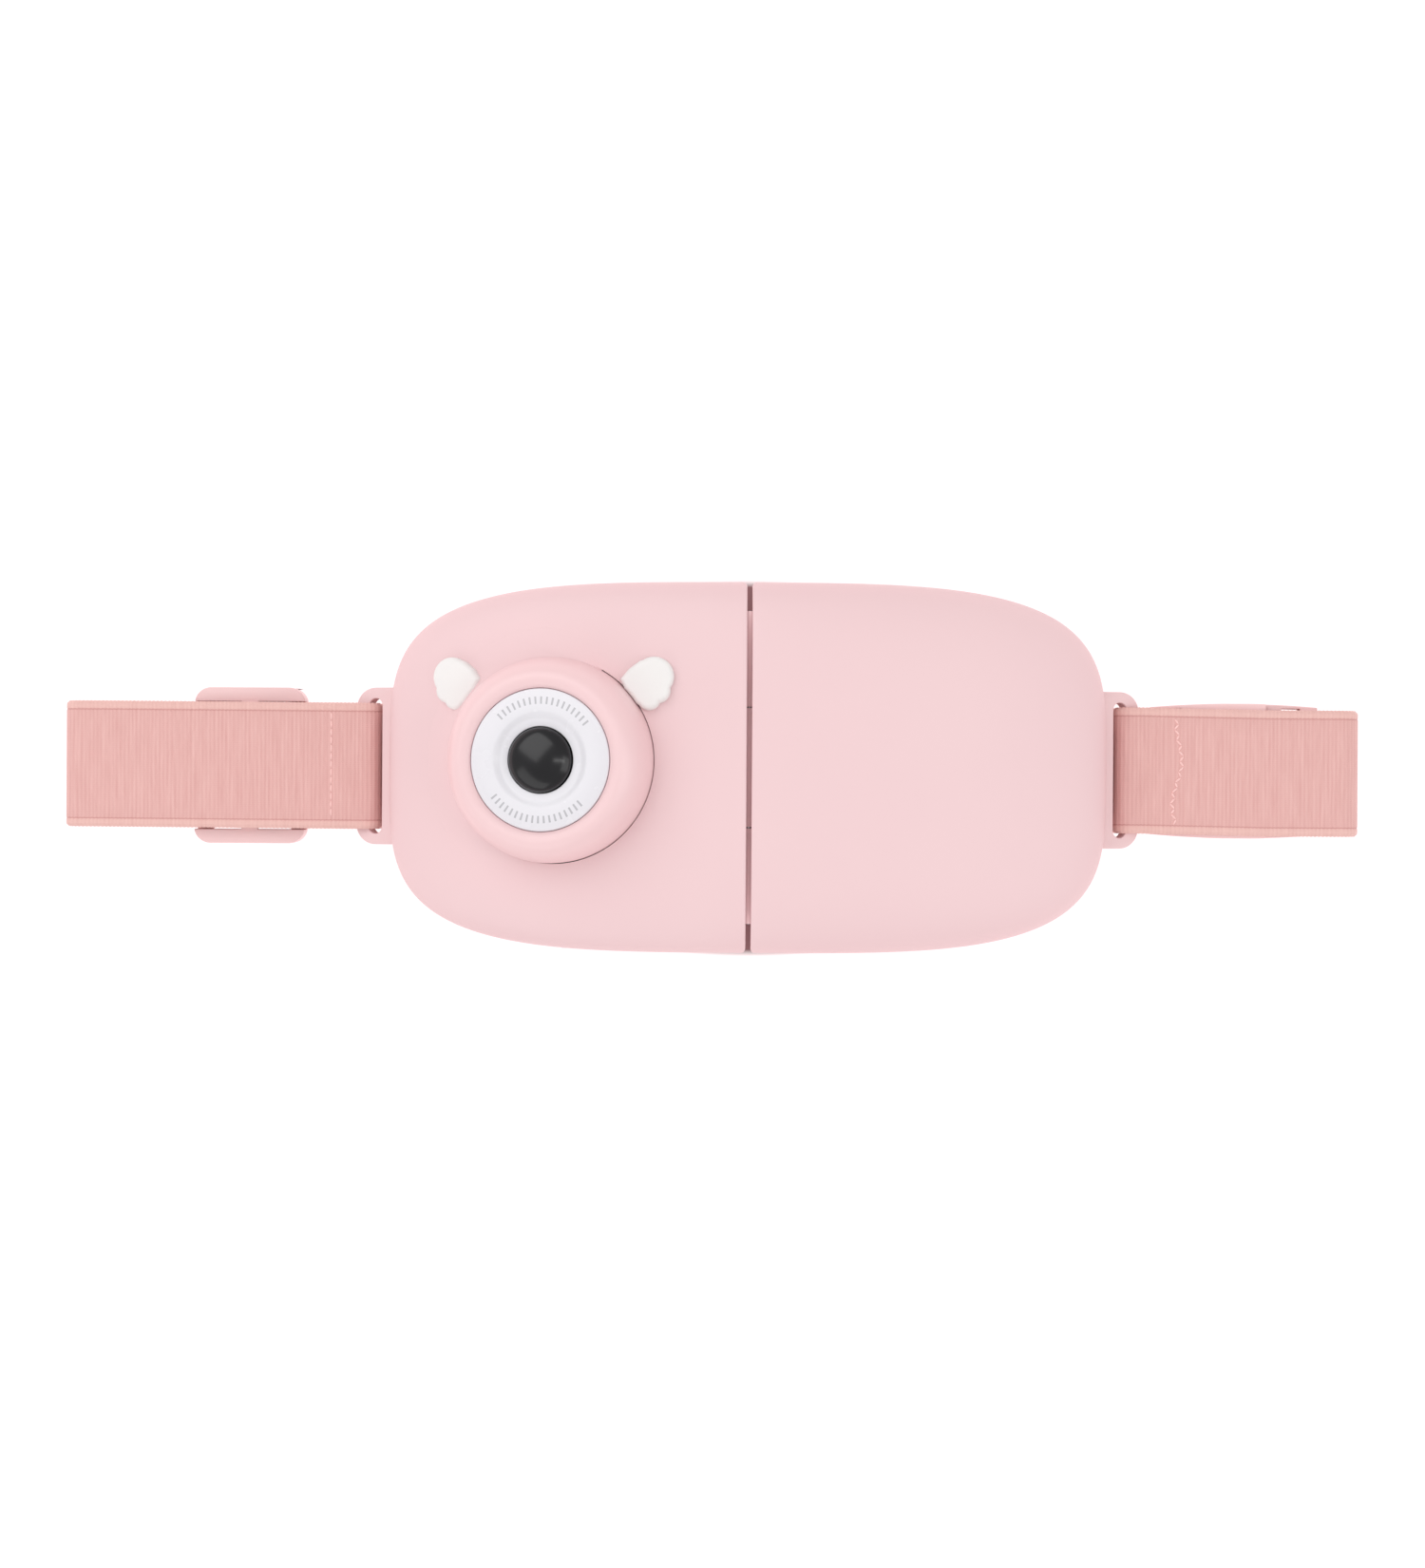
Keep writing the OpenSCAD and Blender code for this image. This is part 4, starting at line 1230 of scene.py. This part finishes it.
@dataclass
class Nose:
    """The camera-style nose: ring, trim plate, domed button and the fillet that blends it in."""

    shop: Workshop
    form: LeafForm = LeafForm()
    ring_r: float = 24.0
    crest_r: float = 19.0
    crest_z: float = 12.3
    plate_r: float = 16.5
    plate_z: float = 11.3
    dish_r: float = 10.4
    dish_deep: float = 0.6
    button_r: float = 7.5
    skirt_z: float = -4.5
    skirt_wall: float = 2.0
    crest_round: float = 1.4
    shelf_r: float = 14.5
    shelf_z: float = 10.1
    fit: float = 0.02
    step_half: float = 0.9
    step_cells: int = 12
    lip: float = 0.35
    flange_r: float = 9.4
    flange_z: Point = (8.4, 9.8)
    dome_z: float = 10.9
    dome_rise: float = 3.0
    press: float = 0.62
    fillet_wid: float = 8.5
    fillet_top: float = 3.4
    fillet_turn: float = 160.0
    fillet_span: float = 99.0
    fillet_fade: float = 0.42
    fillet_cells: tuple[int, int] = (120, 20)

    @staticmethod
    def seat() -> Matrix:
        """The nose's frame: its seat on the front face, leaning away from the hinge."""
        x, y = NOSE_SPOT
        return turned(-NOSE_TILT, "Y", (x, y, LeafForm().face(x, y)))

    def deliver(self, piece: bpy.types.Object, slot: str, body: str, nodes: Sequence[str]) -> None:
        """Smooths a turned piece, sets it in the nose's frame and hands it over."""
        Bench.smooth(piece, 40)
        Bench.place(piece, self.seat())
        self.shop.deliver(piece, slot, body, nodes)

    def ring(self) -> None:
        """Turns the pink ring from its skirt over the crest to the plate's recess."""
        inner = self.plate_r + 0.12
        low, shelf = self.skirt_z, self.shelf_z - self.fit
        outline = [(self.ring_r, low)]
        outline += arc(self.crest_r, 2, self.ring_r - self.crest_r, self.crest_z - 2, 0, 90, 28)
        bend = self.crest_round
        outline += arc(self.crest_r, self.crest_z - bend, self.crest_r - inner, bend, 90, 180, 14)[1:]
        outline += [(inner, shelf), (self.shelf_r, shelf), (self.shelf_r, 8.9)]
        outline += arc(self.crest_r, 2, 3.0, 6.7, 90, 0, 10)
        outline += [(self.ring_r - self.skirt_wall, low)]
        self.deliver(Bench.lathe("nose_ring_body", outline, 192), "ring_pink", Side.LEFT.body, ["nose_ring"])

    def plate(self) -> None:
        """Turns the trim plate, with a soft step down to the dish round the button."""
        top, step, lip = self.plate_z, self.step_half, self.lip
        outline = [(self.plate_r, self.shelf_z)]
        outline += arc(self.plate_r - lip, top - lip, lip, lip, 0, 90, 6)
        for i in range(self.step_cells + 1):
            t = i / self.step_cells
            outline.append((self.dish_r + step - 2 * step * t, top - self.dish_deep * (3 * t * t - 2 * t**3)))
        hole = self.button_r + 0.28
        outline += arc(hole + 0.2, top - self.dish_deep - 0.2, 0.2, 0.2, 90, 180, 4)
        outline.append((hole, self.shelf_z))
        self.deliver(Bench.lathe("trim_disc", outline, 160), "trim_white", Side.LEFT.body, ["trim_plate"])

    def button(self) -> None:
        """Turns the domed button with its flange."""
        (low, high), wide = self.flange_z, self.flange_r
        outline: list[Point] = [(0.0, low), (wide, low), (wide, high), (self.button_r, high)]
        outline += arc(0, self.dome_z, self.button_r, self.dome_rise, 0, 90, 28)
        outline[-1] = (0.0, self.dome_z + self.dome_rise)
        self.deliver(Bench.lathe("lens_dome", outline, 128), "lens_black", "lens_button", ["lens_button_cap"])

    def spring(self) -> None:
        """Copies the return spring and puts it on the left leaf."""
        piece = Bench.copy(self.shop.node("button_spring"), "return_spring")
        Bench.edit(piece, lambda: bpy.ops.mesh.remove_doubles(threshold=SAME_SPOT * MM))
        Bench.smooth(piece, 70)
        self.shop.deliver(piece, "spring_steel", Side.LEFT.body, ["button_spring"])
        axis = self.seat().col[2].to_3d()
        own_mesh(piece)

    def seat_height(self, x: float, y: float) -> float:
        """Height of the front face over the nose's seat plane, along the nose's axis.

        Args:
            x: Place in the nose's frame, away from the hinge negative.
            y: Place across.

        Returns:
            The height.
        """
        seat, height = self.seat(), 0.0
        for _ in range(5):
            spot = seat @ Vector((x, y, height))
            height += (self.form.face(spot.x, spot.y) - spot.z) * seat[2][2]
        return height

    def fillet(self) -> None:
        """Builds the fillet that blends the ring into the leaf, all but on the hinge side."""
        turns, rings = self.fillet_cells
        start_r = self.ring_r - 0.05

        def spot(row: int, column: int) -> Spot:
            """Place of a grid point: rows go round the nose, columns outwards."""
            swing = 2 * row / turns - 1
            angle = math.radians(self.fillet_turn + self.fillet_span * swing)
            fade = min(1.0, (1 - abs(swing)) / self.fillet_fade)
            fade = fade * fade * (3 - 2 * fade)
            t = (column / rings) ** 1.6
            radius = start_r + self.fillet_wid * t
            x, y = radius * math.cos(angle), radius * math.sin(angle)
            base = self.seat_height(x, y)
            foot = self.seat_height(start_r * math.cos(angle), start_r * math.sin(angle))
            curve = 1 - math.sqrt(max(0.0, 1 - (1 - t) ** 2))
            lift = (self.fillet_top - foot) * curve * fade
            sink = 0.1 * (1 - fade) + 0.05 * t**3
            return tuple(self.seat() @ Vector((x, y, base + lift - sink)))

        piece = Bench.grid("nose_fillet", turns, rings, spot)
        Bench.face_way(piece, up=True)
        Bench.modify(piece, "SOLIDIFY", thickness=0.4 * MM, offset=-1)
        Bench.smooth(piece, 50)
        self.shop.deliver(piece, "shell_pink", Side.LEFT.body)

    def build(self) -> None:
        """Builds the nose."""
        self.ring()
        self.plate()
        self.button()
        self.spring()
        self.fillet()


@dataclass
class Wing:
    """A feathered wing ornament that lies on the front face beside the ring."""

    shop: Workshop
    side: Side
    form: LeafForm = LeafForm()
    at: Point = (22.5, 18.0)
    lobes: tuple[Spot, ...] = ((23.9, 19.6, 4.6), (24.6, 16.4, 3.1), (22.7, 14.4, 2.7))
    root: tuple[Point, ...] = (
        *((16, 18.9), (18, 21.3), (20.6, 23.2), (23, 24), (26, 19)),
        *((25.5, 16), (22.8, 12.2), (21.2, 12.3), (18, 14.5)),
    )
    middle: Point = (22.4, 17.6)
    ring_r: float = 23.8
    thick: float = 2.4
    round: float = 1.3
    corners: int = 144

    def reach(self, angle: float) -> float:
        """Distance from the wing's middle to its outline in a direction."""
        across = np.array([math.cos(angle), math.sin(angle)])
        start = np.array(self.middle)
        best = 0.0
        for x, y, r in self.lobes:
            gap = np.array((x, y)) - start
            along = float(gap @ across)
            off = r * r - float(gap @ gap) + along * along
            if off > 0:
                best = max(best, along + math.sqrt(off))
        for a, b in zip(self.root, self.root[1:] + self.root[:1]):
            a, edge = np.array(a) - start, np.array(b) - np.array(a)
            bottom = across[0] * -edge[1] + across[1] * edge[0]
            if abs(bottom) > 1e-9:
                far = (a[0] * -edge[1] + a[1] * edge[0]) / bottom
                share = (across[0] * a[1] - across[1] * a[0]) / bottom
                if far > 0 and 0 <= share <= 1:
                    best = max(best, far)
        while np.linalg.norm(start + across * best) < self.ring_r and best > self.round:
            best -= 0.05
        return best

    def build(self) -> None:
        """Builds the wing from its outline, with a pillow-like edge."""
        mirror, arcs = self.side.value, 7
        reaches = [self.reach(math.tau * i / self.corners) for i in range(self.corners)]
        turns = [math.pi / 2 * i / arcs for i in range(arcs + 1)]
        drops = [(1 - math.cos(a), 1 - math.sin(a)) for a in turns]
        profile = [(0.0, 0.0)] + [(self.round * c, self.thick - self.round * d) for c, d in drops]

        def spot(row: int, column: int) -> Spot:
            """Place of a grid point: rows from the foot over the edge to the middle."""
            angle = math.tau * (column % self.corners) / self.corners
            inset, height = profile[min(row, len(profile) - 1)]
            reach = max(0.0, reaches[column % self.corners] - inset) if row < len(profile) else 0.0
            x = self.middle[0] + reach * math.cos(angle) - self.at[0]
            y = self.middle[1] + reach * math.sin(angle) - self.at[1]
            return mirror * x, y, height

        piece = Bench.grid(f"{self.side.word}_feather_wing", len(profile), self.corners, spot)
        Bench.seal(piece, 50)
        x, y = NOSE_SPOT[0] + mirror * self.at[0], NOSE_SPOT[1] + self.at[1]
        up = self.form.normal(x, y)
        square = Vector((0, 0, 1)).rotation_difference(up).to_matrix().to_4x4()
        Bench.place(piece, Matrix.Translation((x, y, self.form.face(x, y))) @ square)
        self.shop.deliver(piece, "wing_white", Side.LEFT.body, [f"{self.side.word}_wing"])


# ---------- belt ----------


@dataclass
class Route:
    """The middle line of a strap, in the plane across the belt's width."""

    points: list[Point]
    pitch: float = 0.475
    ease: float = 1.0

    def line(self) -> np.ndarray:
        """Gives the eased middle line at an even pitch.

        Returns:
            One row of x, z and length for each point.
        """
        fine = 0.1
        raw = np.array(self.points, float)
        steps = np.linalg.norm(np.diff(raw, axis=0), axis=1)
        along = np.concatenate([[0], np.cumsum(steps)])
        keep = np.concatenate([[True], steps > 1e-6])
        raw, along = raw[keep], along[keep]
        dense = np.arange(0, along[-1], fine)
        line = np.stack([np.interp(dense, along, raw[:, k]) for k in (0, 1)], 1)
        width = int(self.ease / fine)
        kernel = np.hanning(2 * width + 3)[1:-1]
        kernel /= kernel.sum()
        first, last = line[0], line[-1]
        before, after = 2 * first - line[1 : width + 1][::-1], 2 * last - line[-width - 1 : -1][::-1]
        padded = np.concatenate([before, line, after])
        eased = np.stack([np.convolve(padded[:, k], kernel, "valid") for k in (0, 1)], 1)
        gone = np.concatenate([[0], np.cumsum(np.linalg.norm(np.diff(eased, axis=0), axis=1))])
        count = max(4, 2 * round(gone[-1] / self.pitch / 2))
        even = np.linspace(0, gone[-1], count + 1)
        return np.stack([*(np.interp(even, gone, eased[:, k]) for k in (0, 1)), even], 1)


@dataclass
class Belt:
    """The elastic straps and their seams, laid round the lugs, slider and plug."""

    shop: Workshop
    width: float = 30.6
    thick: float = 1.3
    border: float = 13.2
    bar: Point = (93.0204, 7.0382)
    wrap_r: float = 3.325
    run_z: float = 10.3626
    tail_z: float = 8.9626
    layer_1: float = 0.65
    layer_2: float = 2.05
    over_bar: float = 4.15
    slide_z: float = 2.45
    fold_left: float = 162.044
    fold_right: float = 143.494
    cleared: float = 9.0
    stretch_end: float = 130.0
    bar_x: float = 132.5
    slider_x: float = 121.5
    slider_bar: Point = (1.7, 5.6)
    loop_r: float = 1.65
    sunk: float = 0.04

    def section(self) -> list[Point]:
        """Outline of a strap across its width: rounded edges and a groove inside each border."""
        half, side = self.thick / 2, self.width / 2
        top = [(0.0, half), (4.4, half), (8.8, half), (self.border - 0.28, half), (self.border, half - 0.14)]
        top += [(self.border + 0.28, half), (14.45, half), (14.75, half * 0.82), (14.93, half * 0.45)]
        right = top + [(side, 0.0)] + [(y, -n) for y, n in reversed(top)]
        return right[:-1] + [(-y, n) for y, n in reversed(right)][:-1]

    def strip(self, name: str, points: list[Point], drift: Callable[[float], float]) -> bpy.types.Object:
        """Sweeps the strap's section along a route.

        Args:
            name: The piece's name.
            points: The route's middle line, x and z.
            drift: Sideways shift of the strap at a place along x.

        Returns:
            The strap.
        """
        line, section = Route(points).line(), self.section()
        heading = np.gradient(line[:, :2], axis=0)
        heading /= np.linalg.norm(heading, axis=1)[:, None]
        rows, columns = len(line) - 1, len(section)

        def spot(row: int, column: int) -> Spot:
            """Place of a grid point; odd rows are the ribs' crests."""
            y, n = section[column % columns]
            crest = 1 if row % 2 else -1
            n *= 1 + 0.05 * crest
            y *= 1 + 0.0035 * crest
            (x, z, _), (dx, dz) = line[row], heading[row]
            return x - dz * n, y + drift(x), z + dx * n

        def cloth(row: int, column: int) -> Point:
            """Place of a grid point on the cloth."""
            return line[row][2], section[column % columns][0]

        piece = Bench.grid(name, rows, columns, spot, cloth)
        Bench.seal(piece, 60)
        return piece

    def wrapped(self) -> list[Point]:
        """Route round a lug's bar, from the sewn tail to the front run."""
        x, z = self.bar
        route = [(x + 11, self.tail_z), (x + 6.5, self.tail_z)]
        route += arc(x, z, self.wrap_r, self.wrap_r, -72, -262, 24)
        return route + [(x + 6.5, self.run_z)]

    @staticmethod
    def leftwards(points: Iterable[Point]) -> list[Point]:
        """Mirrors a route to the left."""
        return [(-x, z) for x, z in points]

    def long_strap(self) -> None:
        """Builds the long strap: left lug, fold, slider, under both leaves, socket bar and back."""
        fold_r = (self.run_z - 0.9 - self.slide_z) / 2
        route = self.leftwards(
            self.wrapped()
            + arc(self.fold_left, self.slide_z + fold_r, fold_r, fold_r, 90, -90, 24)
            + [(105, self.slide_z), (97, self.layer_1)]
        )
        turn = (self.over_bar - self.layer_1) / 2
        route += arc(101.2, self.layer_1 + turn, turn, turn, -90, 90, 16)
        route += [(97.6, self.over_bar), (94, self.layer_2), (-self.cleared, self.layer_2)]
        piece = self.strip("long_strap", route, lambda x: 0.2 * min(1.0, max(0.0, (-x - 96) / 60)))
        bend = (Side.LEFT.body, Side.RIGHT.body, (-self.cleared * MM, 0, 0), (self.cleared * MM, 0, 0))
        nodes = ["left_strap", "belt_underpass", "under_strap"]
        self.shop.deliver(piece, "elastic_webbing", bend, nodes)

    def end_strap(self) -> None:
        """Builds the strap's end: from under the hinge to its loop round the slider's middle bar."""
        loop_r, (half, bar_z) = self.loop_r, self.slider_bar
        route = [(self.cleared, self.layer_2), (96, self.layer_2), (104, bar_z - loop_r)]
        route += arc(self.slider_x + half, bar_z, loop_r, loop_r, -90, 90, 14)
        route += arc(self.slider_x - half, bar_z, loop_r, loop_r, 90, 130, 4)
        piece = self.strip("strap_end", self.leftwards(route), lambda _: 0.0)
        bend = (Side.LEFT.body, "slider", (-20 * MM, 0, 0), (-103 * MM, 0, 0))
        self.shop.deliver(piece, "elastic_webbing", bend, ["return_strap", "strap_end_loop"])

    def short_strap(self) -> None:
        """Builds the short strap: right lug, fold and the plug's bar."""
        turn = (self.run_z - self.layer_1) / 2
        route = self.wrapped() + arc(self.fold_right, self.layer_1 + turn, turn, turn, 90, -90, 24)
        bar = self.bar_x
        route += [(bar + 1.6, self.layer_1), (bar, self.layer_2), (bar, 6.4)]
        route += [(bar + 0.8, 7.4), (bar + 7.3, 7.4)]
        piece = self.strip("short_strap", route, lambda x: -0.5 * min(1.0, max(0.0, (x - 96) / 30)))
        nodes = ["right_strap", "strap_fold_end"]
        self.shop.deliver(piece, "elastic_webbing", self.stretch(), nodes)

    def stretch(self) -> tuple:
        """Gives the two bodies and the span between them that the short strap and its seam are delivered
        with.
        """
        return Side.RIGHT.body, "plug", (97 * MM, 0, 0), (self.stretch_end * MM, 0, 0)

    def seam(self, name: str, spots: Sequence[Point], height: float) -> bpy.types.Object:
        """Lays one thread stitch between each pair of needle holes.

        Args:
            name: The seam's name.
            spots: Needle holes, x and y.
            height: Height of the strap's face.

        Returns:
            The seam.
        """
        threads = []
        for (x0, y0), (x1, y1) in zip(spots, spots[1:]):
            length = math.hypot(x1 - x0, y1 - y0)
            Bench.clear()
            bpy.ops.mesh.primitive_uv_sphere_add(segments=10, ring_count=8, radius=1 * MM)
            thread = Bench.newest("stitch")
            thread.scale = (length * 0.47, 0.24, 0.2)
            heading = math.degrees(math.atan2(y1 - y0, x1 - x0))
            Bench.place(thread, turned(heading, "Z", ((x0 + x1) / 2, (y0 + y1) / 2, height)))
            threads.append(thread)
        piece = Bench.join(name, threads)
        Bench.smooth(piece, 80)
        return piece

    def seams(self) -> None:
        """Sews the straps' tails: a straight seam on the left, a wandering zig-zag on the right."""
        top = self.run_z + self.thick / 2 + 0.02
        count = 13
        straight = [(-101.0, -12.6 + 25.2 * i / count + 0.35) for i in range(count + 1)]
        piece = self.seam("left_bar_seam", straight, top - self.sunk)
        self.shop.deliver(piece, "elastic_webbing", Side.LEFT.body, finish="seam_thread")
        count = 20
        wavy = []
        for i in range(count + 1):
            y = 12.8 - 25.6 * i / count
            wander = 0.9 * math.sin(y * 0.33 + 0.9) - 0.05 * (12.8 - y)
            wavy.append((104.9 + wander + (0.55 if i % 2 else -0.55), y - 0.3))
        piece = self.seam("right_bar_seam", wavy, top)
        self.shop.deliver(piece, "elastic_webbing", self.stretch(), finish="seam_thread")

    def build(self) -> None:
        """Builds the belt."""
        self.long_strap()
        self.end_strap()
        self.short_strap()
        self.seams()


@dataclass
class Fasteners:
    """The slider and the side-release buckle, moulded in acetal."""

    shop: Workshop
    parts: tuple[tuple[str, str, str, float], ...] = (
        ("slider_frame", "slider_body", "slider", 0.7),
        ("buckle_socket", "buckle_socket_body", "right_leaf", 0.6),
        ("buckle_plug", "buckle_plug_body", "plug", 0.6),
        ("buckle_arms", "buckle_arm_pair", "plug", 0.5),
    )

    def build(self) -> None:
        """Rounds each moulding's edges and hands it over."""
        for node, name, body, width in self.parts:
            piece = Bench.refine(self.shop.node(node), name, width, 4)
            self.shop.deliver(piece, "buckle_pink", body, [node])


@dataclass
class Inside:
    """The works inside the leaves, whose CAD shapes stay and take their real finishes."""

    shop: Workshop
    slots: tuple[tuple[str, tuple[str, ...]], ...] = (
        ("heater_film", ("left_heater_film", "right_heater_film")),
        ("plain_nylon", ("switch_plunger",)),
        ("circuit_board", ("nose_board",)),
        ("switch_black", ("tact_switch",)),
        ("circuit_board", ("main_board",)),
        ("cell_wrap", ("battery_pack",)),
        ("circuit_board", ("battery_board",)),
        ("heater_film", ("link_ribbon",)),
        ("motor_steel", ("left_vibration_motor", "right_vibration_motor")),
        ("weight_metal", ("left_motor_weight", "right_motor_weight")),
        ("pin_steel", ("hinge_pin",)),
    )

    def build(self) -> None:
        """Dresses each node."""
        for slot, nodes in self.slots:
            for node in nodes:
                self.shop.dress(self.shop.node(node), slot)
                LOG.info("%s: %s", node, slot)


# ---------- studio ----------


@dataclass
class Studio:
    """Camera over the belt, soft lights and a pale glowing floor with a painted shadow under the belt."""

    aim: Point = (-8.5, -3.9)
    height: float = 710.0
    lens: float = 66.2
    roll: float = 0.35
    sky: float = 0.62
    glow: float = 0.9
    # Semi-axes in metres of the painted shadow under the belt, where the floor's glow stops.
    shade: Spot = (0.092, 0.0485, 1.0)
    panels: tuple[tuple[str, Spot, Point, float], ...] = (
        ("key_panel", (-420, 380, 620), (700, 700), 2.5),
        ("fill_panel", (620, -160, 520), (500, 900), 1.9),
        ("low_panel", (-430, -500, 420), (900, 400), 1.05),
        ("strip_panel", (165, -10, 640), (45, 420), 0.24),
    )

    def camera(self) -> None:
        """Adds the camera, straight above."""
        Bench.clear()
        bpy.ops.object.camera_add(
            location=(self.aim[0] * MM, self.aim[1] * MM, self.height * MM),
            rotation=(0, 0, math.radians(self.roll)),
        )
        camera = bpy.context.active_object
        camera.name = "studio_camera"
        camera.data.lens = self.lens
        camera.data.clip_start, camera.data.clip_end = 0.01, 20
        bpy.context.scene.camera = camera

    def panel(self, name: str, place: Sequence[float], size: Point, power: float) -> None:
        """Adds a soft light panel that faces the object.

        Args:
            name: The light's name.
            place: Its place in millimetres.
            size: Its two sides in millimetres.
            power: Its power in watts.
        """
        Bench.clear()
        spot = Vector(place) * MM
        turn = (Vector((0, 0, 0.02)) - spot).to_track_quat("-Z", "Y").to_euler()
        bpy.ops.object.light_add(type="AREA", location=spot, rotation=turn)
        light = bpy.context.active_object
        light.name = name
        light.data.shape = "RECTANGLE"
        light.data.size, light.data.size_y = size[0] * MM, size[1] * MM
        light.data.energy = power

    def floor(self) -> None:
        """Lays the floor: a glowing sheet, so that shadows stay light, with a painted shadow under the belt.
        """
        Bench.clear()
        bpy.ops.mesh.primitive_plane_add(size=8, location=(0, 0, -0.4 * MM))
        piece = Bench.newest("studio_floor")
        look = Shading("white_sweep", Roughness=0.9, Specular_IOR_Level=0.1)
        look.shader.inputs["Emission Color"].default_value = (1, 1, 1, 1)
        tooth = look.add("TexNoise", {"Scale": 30.0}, {"Vector": look.place})
        # Painted shadow: the floor's glow fades out in an ellipse under the belt.
        shares = look.add("VectorMath", {"operation": "DIVIDE", 1: self.shade}, {0: look.place})
        flat = look.add("VectorMath", {"operation": "MULTIPLY", 1: (1, 1, 0)}, {0: shares})
        away = look.add("VectorMath", {"operation": "LENGTH"}, {0: flat}).outputs["Value"]
        fade = {"From Min": 0.92, "From Max": 0.955, "To Min": 0.0, "To Max": self.glow}
        look.feed("Emission Strength", look.add("MapRange", fade, {"Value": away}))
        # Painted shade: the dark pink base shows through the hinge slit as the shade inside the leaves.
        piece.data.materials.append(look.face((tooth, "#9c7477", "#a07a7c")))

    def build(self) -> None:
        """Sets up the studio."""
        self.camera()
        self.floor()
        for panel in self.panels:
            self.panel(*panel)
        world = bpy.context.scene.world or bpy.data.worlds.new("studio_air")
        bpy.context.scene.world = world
        world.use_nodes = True
        air = world.node_tree.nodes["Background"]
        air.inputs["Color"].default_value = (1.0, 0.995, 0.99, 1)
        air.inputs["Strength"].default_value = self.sky
        bpy.context.scene.view_settings.view_transform = "Standard"


def finishes() -> dict[str, Finish]:
    """Lists the finish of each of the record's material slots."""
    return {
        "shell_pink": MouldedPlastic("satin_abs_shell", "#ebcbcd", "#e8c7ca", 0.5),
        "back_pink": MouldedPlastic("satin_abs_back", "#edcccd", "#eac8ca", 0.52),
        "silicone_pad": SiliconePad(),
        "heater_film": PolyimideFilm(),
        "ring_pink": MouldedPlastic("satin_abs_ring", "#efcdcf", "#ecc9cb", 0.38, depth=0.006),
        "trim_white": PrintedTrim(tuple(Nose.seat().translation), NOSE_TILT),
        "wing_white": MouldedPlastic("satin_abs_wing", "#eeecea", "#e9e6e5", 0.5, flow=8),
        "lens_black": SmokedAcrylic(),
        "plain_nylon": MouldedPlastic("natural_nylon", "#e9e6df", "#dedacf", 0.5, flow=4),
        "spring_steel": WorkedMetal("drawn_spring_wire", "#b9bbbf", "#a5a8ad", 0.25),
        "circuit_board": SolderMask(),
        "switch_black": MouldedPlastic("black_nylon", "#2b2b2d", "#343436", 0.5, flow=3),
        "port_steel": WorkedMetal("plated_port_shell", "#c9cbcf", "#b2b5ba", 0.22),
        "cell_wrap": WorkedMetal("pouch_foil", "#b7bfc7", "#a3adb7", 0.38, 1.2, (1, 1, 1)),
        "motor_steel": WorkedMetal("drawn_motor_can", "#b4b7bb", "#9a9da2", 0.28),
        "weight_metal": WorkedMetal("sintered_tungsten", "#7d7d80", "#66676b", 0.5, 0.3, (1, 1, 1)),
        # Painted light: the hinge's pink is lighter than the shells' so that the barrel in the slit looks
        # lit.
        "hinge_pink": MouldedPlastic("acetal_hinge", "#f6d3d5", "#f3ccce", 0.4, flow=12),
        "pin_steel": WorkedMetal("ground_pin", "#bfc1c5", "#a9acb0", 0.2),
        "screw_steel": WorkedMetal("zinc_screw", "#a9aaad", "#8f9094", 0.34, 0.2, (1, 1, 1)),
        "elastic_webbing": WovenElastic(),
        "seam_thread": TwistedThread(),
        "buckle_pink": MouldedPlastic("acetal_buckle", "#f3d0d0", "#f0caca", 0.34, depth=0.005, flow=16),
    }


def main() -> None:
    """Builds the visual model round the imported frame."""
    logging.basicConfig(level=logging.INFO, format="%(name)s: %(message)s")
    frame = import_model()
    Studio().build()
    shop = Workshop(frame, finishes())
    for side in Side:
        Leaf(shop, side).build()
        Wing(shop, side).build()
    Nose(shop).build()
    Belt(shop).build()
    Fasteners(shop).build()
    Inside(shop).build()


if __name__ == "__main__":
    main()
